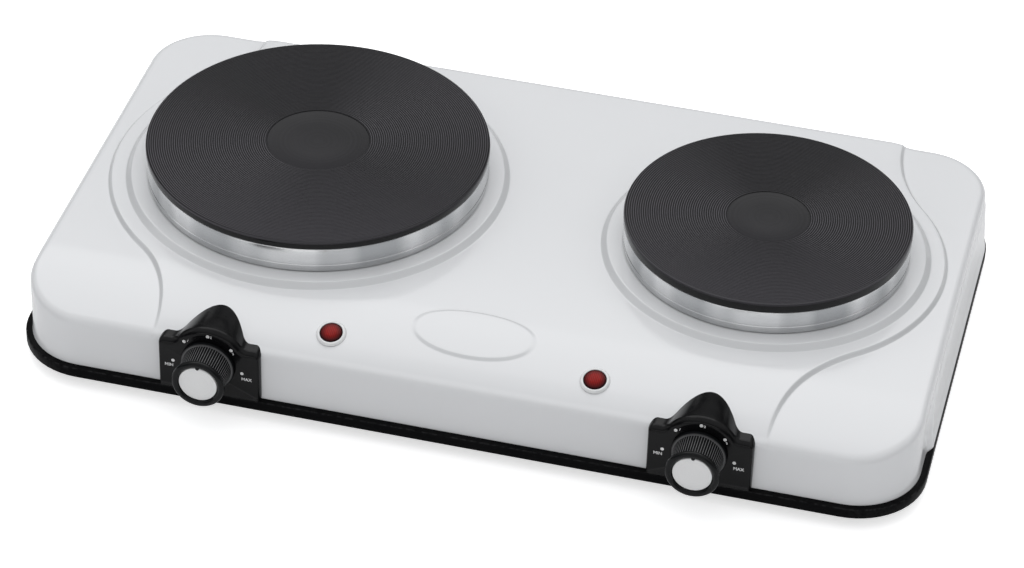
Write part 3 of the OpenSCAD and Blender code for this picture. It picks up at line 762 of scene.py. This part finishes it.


# painted highlight: a pale edge tone along the tray's convex edges stands in for the light caught
# there, partly also wear
blackTray = skinFinish("blackTray", {
    "tone": (0.003, 0.003, 0.0035), "toneTwo": (0.0045, 0.0045, 0.005), "gloss": (0.26, 0.36),
    "fine": 1500.0, "coarse": 30.0, "bump": 0.1, "depth": 0.00004, "dust": 0.01,
    "wearAndHighlight": 0.7, "wornTone": (0.22, 0.22, 0.225), "constants": {"Specular IOR Level": 0.03}})
keepPiece(makeTray(), blackTray, "base", "tray_black", "base_tray")
print("tray made")


# cast plates and their steel rings

casting = {
    "top": 77.0, "sink": 0.55, "boss": 57.7, "skirt": 58.7, "edgeIn": 1.3, "edgeDown": 1.5,
    "pitch": 0.0012, "dullShare": 0.15, "tone": (0.0075, 0.0071, 0.0085),
    "toneTwo": (0.0115, 0.0109, 0.0131), "frontSheenTone": (0.039, 0.0365, 0.043),
    "valleyShade": (0.002, 0.002, 0.0024), "crestHighlight": (0.088, 0.084, 0.094),
    "side": (0.005, 0.005, 0.0055), "skirtIn": 8, "bossRadius": 12, "boreRadius": 3,
}


def makeCasting(key):
    spec = plates[key]
    radius, centre, top, rim = spec["radius"], spec["centre"], casting["top"], spec["rim"]
    sunk = top - casting["sink"]
    profile = [
        (0.0, sunk), (centre * 0.5, sunk), (centre - 0.5, sunk), (centre - 0.12, sunk + 0.1),
        (centre, top - 0.12), (centre + 0.15, top - 0.02), (centre + 0.5, top)]
    steps = 14
    profile += [(mix(centre + 1, radius - 1.6, i / steps), top) for i in range(steps + 1)]
    # the rim is turned to a full round edge above a straight side
    turn, drop = casting["edgeIn"], casting["edgeDown"]
    profile += [(radius - turn + turn * math.sin(a), top - drop + drop * math.cos(a))
                for a in map(math.radians, (6, 15, 25, 35, 45, 55, 65, 75, 84, 90))]
    inner, boss, bore = radius - casting["skirtIn"], casting["bossRadius"], casting["boreRadius"]
    profile += [
        (radius, rim + 0.7), (radius - 0.1, rim + 0.3), (radius - 0.35, rim + 0.08),
        (radius - 0.7, rim), (radius - 2, rim), (radius - 2, casting["skirt"]),
        (inner, casting["skirt"]), (inner, rim - 1.5), (boss, rim - 1.5),
        (boss, casting["boss"]), (bore, casting["boss"]), (bore, rim), (0, rim)]
    disc = spinProfile(key + "Casting", profile, 256)
    placePiece(disc, (mm(spec["x"]), mm(plateRow), 0))
    softShade(disc, 28)
    return disc


def castFinish(key):
    spec = plates[key]
    finish, tree, shader, place = startFinish(key + "Cast", {
        "Specular IOR Level": 0.24, "IOR": 1.5})
    local = centredOn(tree, place, (mm(spec["x"]), mm(plateRow), mm(casting["top"])))
    rings = groupNode(tree, turnedRings, {"Vector": local, "Pitch": casting["pitch"]})
    grain = grainOf(tree, place, 1600.0, 22.0)
    split = axesOf(tree, local)
    onTop = maskOf(tree, split[2], -0.0015, -0.0009)
    lined = maskOf(tree, rings["Radius"], mm(spec["centre"]), mm(spec["centre"] + 0.6))
    # painted sheen: the lathe marks are drawn with more contrast in two opposite sectors, where the
    # light catches them
    side = mathOf(tree, "ARCTAN2", split[1], split[0])
    turned = mathOf(tree, "MULTIPLY_ADD", side, 2.0, -2 * math.radians(spec["lit"]))
    sheenLobes = mathOf(tree, "COSINE", turned)
    sheenSector = rangeOf(tree, sheenLobes, casting["dullShare"], 1.0, -0.6, 1.0)
    cutSheenMask = productOf(tree, lined, sheenSector)
    charcoal = mixColour(tree, maskOf(tree, rings["Tone"], 0.4, 0.6),
                         casting["tone"], casting["toneTwo"])
    # painted sheen: the plate top is drawn paler towards the front
    frontSheen = rangeOf(tree, split[1], 0.0, 0.8, mm(0.1 * spec["radius"]), mm(-0.9 * spec["radius"]))
    charcoal = mixColour(tree, frontSheen, charcoal, casting["frontSheenTone"])
    # painted highlight and shade: ring crests are drawn paler and the valleys darker
    crestHighlight = productOf(tree, maskOf(tree, rings["Height"], 0.0, 0.8), cutSheenMask)
    valleyShade = productOf(tree, rangeOf(tree, rings["Height"], 1.0, 0.0, -0.8, 0.0), cutSheenMask)
    grooveShade = mixColour(tree, valleyShade, charcoal, casting["valleyShade"])
    crestHighlights = mixColour(tree, crestHighlight, grooveShade, casting["crestHighlight"])
    body = mixColour(tree, onTop, casting["side"], crestHighlights)
    tree.links.new(body, shader.inputs["Base Color"])
    worn = rangeOf(tree, grain["Patches"], 0.0, 0.07)
    satin = rangeOf(tree, onTop, 0.12, 0.36, 0.0, 1.0)
    rough = mathOf(tree, "ADD", satin, worn)
    tree.links.new(rough, shader.inputs["Roughness"])
    cut = mathOf(tree, "MULTIPLY", rings["Height"], lined)
    both = mathOf(tree, "MULTIPLY_ADD", grain["Height"], 0.25, cut)
    bumpOf(tree, shader, both, 0.8, 0.00014)
    return finish


trim = {"low": 57.5, "wall": 1.2, "gap": 0.5}


def makeRing(key):
    spec = plates[key]
    outer, flange = spec["radius"] - 0.25, spec["radius"] - casting["skirtIn"]
    low, top = trim["low"], spec["rim"]
    lift = low + trim["gap"]
    profile = [
        (flange, low), (outer - 1.1, low), (outer - 1.0, lift), (outer - 0.15, lift),
        (outer, lift + 0.15), (outer, low + 4.1), (outer - 0.22, low + 4.3),
        (outer - 0.22, low + 4.45), (outer, low + 4.65), (outer, top - 3.4), (outer, top - 0.5),
        (outer - 0.05, top - 0.3), (outer - 0.15, top - 0.14), (outer - 0.3, top - 0.04),
        (outer - 0.5, top),
        (outer - trim["wall"], top), (outer - trim["wall"], low + trim["wall"]),
        (flange, low + trim["wall"])]
    ring = spinProfile(key + "TrimBand", profile, 256, closed=True)
    placePiece(ring, (mm(spec["x"]), mm(plateRow), 0))
    softShade(ring, 30)
    return ring


def bandFinish(key):
    spec = plates[key]
    finish, tree, shader, place = startFinish(key + "TrimSteel", {"Metallic": 1.0})
    local = centredOn(tree, place, (mm(spec["x"]), mm(plateRow), 0))
    brush = groupNode(tree, bandBrush, {"Vector": local, "Lines": 2600.0})
    split = axesOf(tree, local)
    # painted reflection: broad pale and dark streaks round the band in the base colour
    streakReflection = mixColour(tree, maskOf(tree, brush["Streaks"], 0.44, 0.56),
                       (0.47, 0.48, 0.49), (0.8, 0.805, 0.81))
    # painted shade: the band is drawn darker towards its bottom
    low = rangeOf(tree, split[2], 1.0, 0.0, mm(trim["low"] - 0.5), mm(trim["low"] + 6.0))
    shaded = mixColour(tree, low, streakReflection, (0.5, 0.505, 0.51))
    # painted shade: the lip at the gap under the band is drawn near black
    gapShade = rangeOf(tree, split[2], 1.0, 0.0, mm(trim["low"] + 0.45), mm(trim["low"] + 0.6))
    body = mixColour(tree, gapShade, shaded, (0.03, 0.03, 0.03))
    tree.links.new(body, shader.inputs["Base Color"])
    tree.links.new(rangeOf(tree, brush["Streaks"], 0.18, 0.27), shader.inputs["Roughness"])
    bumpOf(tree, shader, brush["Height"], 0.12, 0.00003)
    return finish


for key in plates:
    keepPiece(makeCasting(key), castFinish(key), "base", "cast_black", key + "_plate")
    keepPiece(makeRing(key), bandFinish(key), "base", "trim_steel", key + "_trim_ring")
print("plates and rings turned")


# control bezels, modelled in the dial frame: x across, y up, z to the user

control = {
    "x": 131.5, "z": 33.0, "half": 27.75, "low": -19.7, "high": 11.3, "face": 138.0, "back": 103.0,
    "corner": 3.6, "fillet": 5.5, "hood": 21.5, "taper": 0.135, "round": 3.6, "sideShare": 0.4,
}
sides = ((-1, "left"), (1, "right"))


def dialCentre(side):
    return mm(side * control["x"]), mm(housing["middleY"]), mm(control["z"])


def dialPlace(piece, side):
    placePiece(piece, dialCentre(side), (math.radians(90), 0, 0))


def addBlock(name, x0, x1, y0, y1, z0, z1):
    clearSelection()
    middle = (mm(x0 + x1) / 2, mm(y0 + y1) / 2, mm(z0 + z1) / 2)
    bpy.ops.mesh.primitive_cube_add(size=1, location=middle)
    block = bpy.context.object
    block.name = name
    block.scale = (mm(x1 - x0), mm(y1 - y0), mm(z1 - z0))
    placePiece(block, block.location)
    return block


# outline of the shell at one depth, drawn in by an inset, up one side and down the other
def bezelOutline(z, inset):
    behind = max(0.0, control["face"] - control["round"] - z)
    hood = control["hood"] - behind * control["taper"] - inset
    half = control["half"] - inset * control["sideShare"]
    high, fillet = control["high"] - inset, control["fillet"] + inset
    corner = max(0.5, control["corner"] - inset)
    reach = math.sqrt((hood + fillet) ** 2 - (high + fillet) ** 2)
    lean = math.atan2(high + fillet, reach)
    right = [(half, mix(control["low"], high - corner, i / 8)) for i in range(8)]
    right += [(half - corner + corner * math.cos(a), high - corner + corner * math.sin(a))
              for a in (math.radians(11.25 * i) for i in range(9))]
    right += [(mix(half - corner, reach, i / 4), high) for i in (1, 2, 3)]
    right += [(reach - fillet * math.sin(a), high + fillet - fillet * math.cos(a))
              for a in ((math.pi / 2 - lean) * i / 12 for i in range(13))]
    right += [(hood * math.cos(a), hood * math.sin(a))
              for a in (mix(lean, math.pi / 2, i / 24) for i in range(1, 24))]
    left = [(-x, y) for x, y in reversed(right)]
    return right + [(0.0, hood)] + left


def makeBezel():
    full, soft = control["face"], control["round"]
    rings = [(mix(control["back"], full - soft, i / 10), 0.0) for i in range(11)]
    rings += [(full - soft + soft * math.sin(a), soft * (1 - math.cos(a)))
              for a in (math.radians(d) for d in (8, 16, 24, 32, 40, 48, 56, 64, 72, 80, 86, 90))]
    rings += [(full, soft + 0.25)]
    count = len(bezelOutline(full, 0))
    clearSelection()
    bpy.ops.mesh.primitive_circle_add(vertices=count, radius=0.03, fill_type="NGON")
    shellPiece = bpy.context.object
    setMode("EDIT")
    selectAll()
    for ring in rings[1:]:
        extrude(0, 0, 1)
    setMode("OBJECT")
    # each extruded ring takes the outline of its own depth
    for vertex in shellPiece.data.vertices:
        turn = math.atan2(vertex.co.y, vertex.co.x)
        index = round((math.pi / 2 - turn) / (2 * math.pi) * count) % count
        z, inset = rings[round(vertex.co.z)]
        x, y = bezelOutline(z, inset)[(index + count // 2) % count]
        vertex.co = (mm(-x), mm(y), mm(z))
    fixNormals(shellPiece, 0.00001)
    softShade(shellPiece, 40)
    even = shellPiece.modifiers.new("evenShade", "WEIGHTED_NORMAL")
    even.keep_sharp = True
    applyModifiers(shellPiece)
    return shellPiece


gloss = skinFinish("blackGloss", {
    "tone": (0.0035, 0.0035, 0.004), "toneTwo": (0.005, 0.005, 0.0055), "gloss": (0.14, 0.2),
    "fine": 1400.0, "coarse": 45.0, "bump": 0.05, "depth": 0.00004, "dust": 0.01, "wearAndHighlight": 0.1,
    "constants": {"Specular IOR Level": 0.17}})
bezels = [makeBezel()]
pick(bezels[0])
bpy.ops.object.duplicate()
bezels.append(bpy.context.object)
for side, name, piece in ((-1, "left", bezels[0]), (1, "right", bezels[1])):
    piece.name = name + "BezelShell"
    dialPlace(piece, side)
    keepPiece(piece, gloss, "base", "bezel_black", name + "_bezel")
print("bezels moulded,", len(bezels[0].data.polygons), "faces")


# printed dial marks

marks = {
    "dot": 0.95, "textScale": 1.42, "tall": 0.05, "spread": 0.055,
    "dots": [(-19.4, -1.9), (-13.0, 12.0), (0.1, 17.9), (12.7, 11.5), (18.4, -2.6)],
    # text, x, y, size and turn
    "labels": [("MIN", -24.0, -5.9, 1.85, 0), ("1", -11.6, 12.5, 1.4, -20),
               ("2", 1.4, 17.0, 1.35, 0), ("3", 13.4, 8.7, 1.4, 15), ("MAX", 18.0, -7.0, 1.85, 0)],
}
printWhite = skinFinish("printWhite", {
    "tone": (0.94, 0.94, 0.94), "toneTwo": (0.9, 0.9, 0.9), "gloss": (0.4, 0.5), "fine": 3000.0,
    "coarse": 500.0, "bump": 0.1, "depth": 0.00002, "dust": 0.0})


def makeMarks(side):
    pieces = []
    for x, y in marks["dots"]:
        clearSelection()
        bpy.ops.mesh.primitive_cylinder_add(vertices=24, radius=mm(marks["dot"]), depth=mm(0.3),
                                            location=(mm(x), mm(y), mm(control["face"] - 0.1)))
        pieces.append(bpy.context.object)
    for text, x, y, size, turn in marks["labels"]:
        clearSelection()
        bpy.ops.object.text_add(location=(mm(x), mm(y), mm(control["face"])),
                                rotation=(0, 0, math.radians(turn)))
        label = bpy.context.object
        label.data.body = text
        label.data.size = mm(size * marks["textScale"])
        label.data.extrude = mm(marks["tall"])
        label.data.offset = mm(marks["spread"])
        bpy.ops.object.convert(target="MESH")
        pieces.append(bpy.context.object)
    for piece in pieces:
        pick(piece)
        bpy.ops.object.transform_apply(location=True, rotation=True, scale=True)
    joined = joinPieces(pieces, "dialMarks")
    dialPlace(joined, side)
    return joined


for side, name in sides:
    piece = makeMarks(side)
    piece.name = name + "DialMarks"
    keepPiece(piece, printWhite, "base", "bezel_black")
print("dial marks printed")


# ribbed knobs with silver caps

knob = {
    "base": 138.5, "front": 157.0, "skirt": 14.7, "grip": 12.9, "neck": 12.2, "rim": 14.3,
    "cap": 10.4, "sink": 1.0, "floor": 2.6, "ribs": 60, "ribWide": 0.42, "ribTall": 0.5,
    "ribLow": 1.9, "ribHigh": 3.5, "notch": 1.15, "crestHighlight": (0.13, 0.13, 0.133),
}


def makeKnob():
    base, front, skirt, rim, cap = (knob[k] for k in ("base", "front", "skirt", "rim", "cap"))
    grip, neck, floor = knob["grip"], knob["neck"], front - knob["floor"]
    profile = [
        (3.0, base), (skirt - 0.3, base), (skirt, base + 0.3), (skirt, base + 1.3),
        (skirt - 0.12, base + 1.65), (skirt - 0.45, base + 1.95), (skirt - 1.0, base + 2.1),
        (grip + 0.9, base + 2.15), (grip + 0.3, base + 2.3), (grip, base + 2.8),
        (neck, front - 3.9), (neck + 0.05, front - 3.6), (neck + 0.3, front - 3.3),
        (rim - 0.6, front - 2.95), (rim - 0.2, front - 2.65), (rim, front - 2.2)]
    profile += [(mix(cap + 0.35, rim, 0.5 + 0.5 * math.cos(math.radians(d))),
                 front - 1.6 + 1.6 * math.sin(math.radians(d))) for d in range(0, 181, 12)]
    profile += [(cap + 0.3, floor), (0, floor)]
    body = spinProfile("knobGrip", profile, 120)
    low, high = base + knob["ribLow"], front - knob["ribHigh"]
    half = knob["ribWide"] / 2
    rib = addBlock("rib", -half, half, -0.5, knob["ribTall"], low, high)
    bevelPiece(rib, 0.19, 2)
    for corner in rib.data.vertices:
        t = (corner.co.z - mm(low)) / mm(high - low)
        corner.co.y += mm(mix(grip, neck, t))
    ribs = [rib]
    for i in range(1, knob["ribs"]):
        pick(rib)
        bpy.ops.object.duplicate(linked=False)
        ribs.append(bpy.context.object)
        placePiece(ribs[-1], (0, 0, 0), (0, 0, 2 * math.pi * i / knob["ribs"]))
    body = joinPieces([body] + ribs, "knobGrip")
    # pointer peg that stands in the notch of the cap
    peg = spinProfile("pointer", [
        (0, floor), (1.0, floor), (1.0, front - 0.6), (0.85, front - 0.35), (0.5, front - 0.25),
        (0, front - 0.22)], 24)
    placePiece(peg, (0, mm(cap + 0.25), 0))
    body = joinPieces([body, peg], "knobGrip")
    softShade(body, 40)
    return body


def makeCap():
    cap, front = knob["cap"], knob["front"] - knob["sink"]
    disc = spinProfile("capDisc", [
        (0, front - 0.02), (cap * 0.6, front - 0.01), (cap - 0.5, front), (cap - 0.2, front - 0.08),
        (cap - 0.02, front - 0.3), (cap, front - 0.6), (cap, front - 1.4), (0, front - 1.4)], 96)
    clearSelection()
    bpy.ops.mesh.primitive_cylinder_add(vertices=32, radius=mm(knob["notch"]), depth=mm(4),
                                        location=(0, mm(cap + 0.15), mm(front)))
    booleanPiece(disc, bpy.context.object, "DIFFERENCE")
    softShade(disc, 30)
    return disc


# black like the bezels, with painted highlights on the crests of the ribs
def knobFinish(side):
    finish, tree, shader, place = startFinish("knobBlack" + ("Left" if side < 0 else "Right"), {
        "Roughness": 0.2})
    local = centredOn(tree, place, dialCentre(side))
    split = axesOf(tree, local)
    level = vectorOf(tree, "MULTIPLY", local, (1, 0, 1))
    away = vectorOf(tree, "LENGTH", level)
    low, high = mm(knob["base"] + knob["ribLow"]), mm(knob["front"] - knob["ribHigh"])
    cone = rangeOf(tree, split[1], mm(knob["grip"]), mm(knob["neck"]), -low, -high)
    proud = mathOf(tree, "SUBTRACT", away, cone)
    crestHighlight = maskOf(tree, proud, mm(0.28), mm(0.46))
    behind = maskOf(tree, split[1], -high - mm(0.2), -high + mm(0.5))
    ahead = rangeOf(tree, split[1], 1.0, 0.0, -low - mm(0.3), -low + mm(0.1))
    ribHighlightMask = productOf(tree, behind, ahead, crestHighlight)
    grain = grainOf(tree, place, 1400.0, 45.0)
    wearAndHighlight = groupNode(tree, edgeWearAndHighlight, {"Vector": place, "Amount": 0.06})
    body = mixColour(tree, rangeOf(tree, grain["Patches"], 0.0, 1.0),
                     (0.0035, 0.0045, 0.005), (0.006, 0.006, 0.0065))
    rubbed = mixColour(tree, wearAndHighlight["Mask"], body, (0.06, 0.06, 0.06))
    # painted highlight: the rib crests get a paler tone
    highlightedRibs = mixColour(tree, ribHighlightMask, rubbed, knob["crestHighlight"])
    # the gaps between ribs and the skirt stay dull
    dull = mathOf(tree, "SUBTRACT", behind, ribHighlightMask)
    tree.links.new(rangeOf(tree, dull, 0.17, 0.02, 0.0, 1.0), shader.inputs["Specular IOR Level"])
    tree.links.new(highlightedRibs, shader.inputs["Base Color"])
    tree.links.new(rangeOf(tree, grain["Patches"], 0.12, 0.18), shader.inputs["Roughness"])
    bumpOf(tree, shader, grain["Height"], 0.05, 0.00004)
    return finish


for side, name in sides:
    body = name + "_control"
    grip = makeKnob()
    grip.name = name + "KnobGrip"
    dialPlace(grip, side)
    keepPiece(grip, knobFinish(side), body, "knob_black", name + "_knob")
    disc = makeCap()
    disc.name = name + "CapDisc"
    dialPlace(disc, side)
    silver = turnedFinish(name + "CapSilver", {
        "tone": (0.76, 0.76, 0.76), "toneTwo": (0.81, 0.81, 0.81), "gloss": (0.42, 0.5),
        "metallic": 0.35, "pitch": 0.0003, "ringShare": 0.3, "bump": 0.12, "depth": 0.00002},
        (mm(side * control["x"]), 0, mm(control["z"])), (math.radians(-90), 0, 0))
    keepPiece(disc, silver, body, "cap_silver", name + "_knob_cap")
print("knobs made")


# pilot lamps, modelled in the lamp frame: z out of the sloping panel

lamp = {"x": 70.8, "y": -106.5, "z": 49.567, "tilt": 17.53, "lens": 6.0, "collar": 8.0,
        "ribPitch": 0.00095}


def lampCentre(side):
    return mm(side * lamp["x"]), mm(lamp["y"]), mm(lamp["z"])


def lampPlace(piece, side):
    placePiece(piece, lampCentre(side), (math.radians(lamp["tilt"]), 0, 0))


def makeLens():
    r = lamp["lens"]
    lens = spinProfile("lens", [
        (0, 2.75), (1.6, 2.72), (3.0, 2.6), (4.2, 2.38), (5.1, 2.08), (5.6, 1.8), (5.85, 1.6),
        (r, 1.45), (r, 1.2), (r, 0.3), (4.8, 0.3), (4.8, -3), (0, -3)], 64)
    softShade(lens, 35)
    return lens


def makeCollar():
    r = lamp["collar"]
    collar = spinProfile("collar", [
        (6.15, 0.3), (6.15, 1.2), (6.35, 1.38), (6.8, 1.4), (7.3, 1.15), (7.7, 0.7), (7.9, 0.4),
        (r, 0.18), (r, 0.02), (5.9, 0.0), (5.9, -9), (4.8, -9), (4.8, 0.3)], 64, closed=True)
    softShade(collar, 40)
    return collar


def lensFinish(side):
    finish, tree, shader, place = startFinish("lensRed" + ("Left" if side < 0 else "Right"), {
        "Roughness": 0.16, "Specular IOR Level": 0.12})
    local = centredOn(tree, place, lampCentre(side), (math.radians(-lamp["tilt"]), 0, 0))
    split = axesOf(tree, local)
    turns = mathOf(tree, "MULTIPLY", split[0], 2 * math.pi / lamp["ribPitch"])
    ribs = mathOf(tree, "SINE", turns)
    flat = vectorOf(tree, "MULTIPLY", local, (1, 1, 0))
    away = vectorOf(tree, "LENGTH", flat)
    # painted shade: the lens is drawn darker from its centre out to its rim
    rim = maskOf(tree, away, 0.0025, 0.0058)
    grain = grainOf(tree, place, 900.0, 300.0)
    warm = mixColour(tree, rangeOf(tree, grain["Patches"], 0.0, 1.0),
                     (0.37, 0.014, 0.011), (0.28, 0.01, 0.008))
    lined = mixColour(tree, rangeOf(tree, ribs, 0.0, 0.6, -1.0, 1.0), warm,
                      (0.12, 0.004, 0.004))
    body = mixColour(tree, rim, lined, (0.016, 0.002, 0.003))
    tree.links.new(body, shader.inputs["Base Color"])
    bumpOf(tree, shader, ribs, 0.3, 0.0001)
    return finish


collarClear = skinFinish("collarClear", {
    "tone": (0.8, 0.81, 0.815), "toneTwo": (0.85, 0.85, 0.85), "gloss": (0.1, 0.18), "fine": 700.0,
    "coarse": 200.0, "bump": 0.08, "depth": 0.00004, "dust": 0.0,
    "constants": {"Coat Weight": 0.6, "Coat Roughness": 0.03}})
for side, name in sides:
    lens = makeLens()
    lens.name = name + "LampLens"
    lampPlace(lens, side)
    keepPiece(lens, lensFinish(side), "base", "lens_red", name + "_lamp_lens")
    collar = makeCollar()
    collar.name = name + "LampCollar"
    lampPlace(collar, side)
    keepPiece(collar, collarClear, "base", "collar_clear", name + "_lamp_collar")
print("lamps made")


# finishes of the parts inside and underneath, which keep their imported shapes
insideOrder = ("tone", "toneTwo", "gloss", "fine", "coarse", "bump")
inside = {
    "zincSteel": ((0.5, 0.51, 0.52), (0.6, 0.6, 0.6), (0.3, 0.42), 1800.0, 160.0, 0.15,
        {"metallic": 1.0, "wornTone": (0.75, 0.75, 0.75)}, ["fixing_brackets", "base_screws",
        "foot_screws", "clamp_studs", "clamp_nuts", "thermostat_screws",
        "left_thermostat_bracket", "right_thermostat_bracket"]),
    "sheetSteel": ((0.4, 0.4, 0.41), (0.5, 0.5, 0.5), (0.35, 0.5), 900.0, 40.0, 0.2,
        {"metallic": 1.0, "wornTone": (0.7, 0.7, 0.7)}, ["large_cover_plate",
        "small_cover_plate", "large_clamp_bar", "small_clamp_bar"]),
    "turnedShaft": ((0.62, 0.62, 0.63), (0.7, 0.7, 0.7), (0.2, 0.3), 2600.0, 300.0, 0.12,
        {"metallic": 1.0}, ["left_shaft", "right_shaft"]),
    "ivoryPhenolic": ((0.56, 0.5, 0.4), (0.62, 0.56, 0.46), (0.35, 0.48), 1200.0, 90.0, 0.12,
        {"wornTone": (0.7, 0.66, 0.58)}, ["left_thermostat", "right_thermostat",
        "left_lamp_body", "right_lamp_body", "plate_terminals", "mains_terminal"]),
    "coilAlloy": ((0.3, 0.27, 0.24), (0.4, 0.36, 0.3), (0.4, 0.6), 3000.0, 400.0, 0.2,
        {"metallic": 1.0}, ["large_heater_coil", "small_heater_coil"]),
    "ceramicFill": ((0.62, 0.6, 0.55), (0.7, 0.68, 0.63), (0.75, 0.9), 700.0, 70.0, 0.5,
        {"depth": 0.0003}, ["large_heater_fill", "small_heater_fill"]),
    "footRubber": ((0.012, 0.012, 0.012), (0.02, 0.02, 0.02), (0.6, 0.75), 1600.0, 120.0, 0.3,
        {"dust": 0.1}, ["rubber_feet"]),
    "glandBlack": ((0.01, 0.01, 0.011), (0.015, 0.015, 0.016), (0.3, 0.42), 1500.0, 100.0, 0.15,
        {}, ["cord_gland"]),
    "earthBrass": ((0.72, 0.52, 0.22), (0.62, 0.43, 0.17), (0.25, 0.38), 2400.0, 300.0, 0.12,
        {"metallic": 1.0}, ["earth_stud"]),
    "leadSleeve": ((0.6, 0.57, 0.5), (0.68, 0.65, 0.58), (0.6, 0.75), 2200.0, 200.0, 0.4, {},
        ["internal_leads"]),
}
for finishName, (*values, extras, names) in inside.items():
    finish = skinFinish(finishName, {**dict(zip(insideOrder, values)), **extras})
    for name in names:
        dress(nodes[name], finish)
print("inner parts dressed")
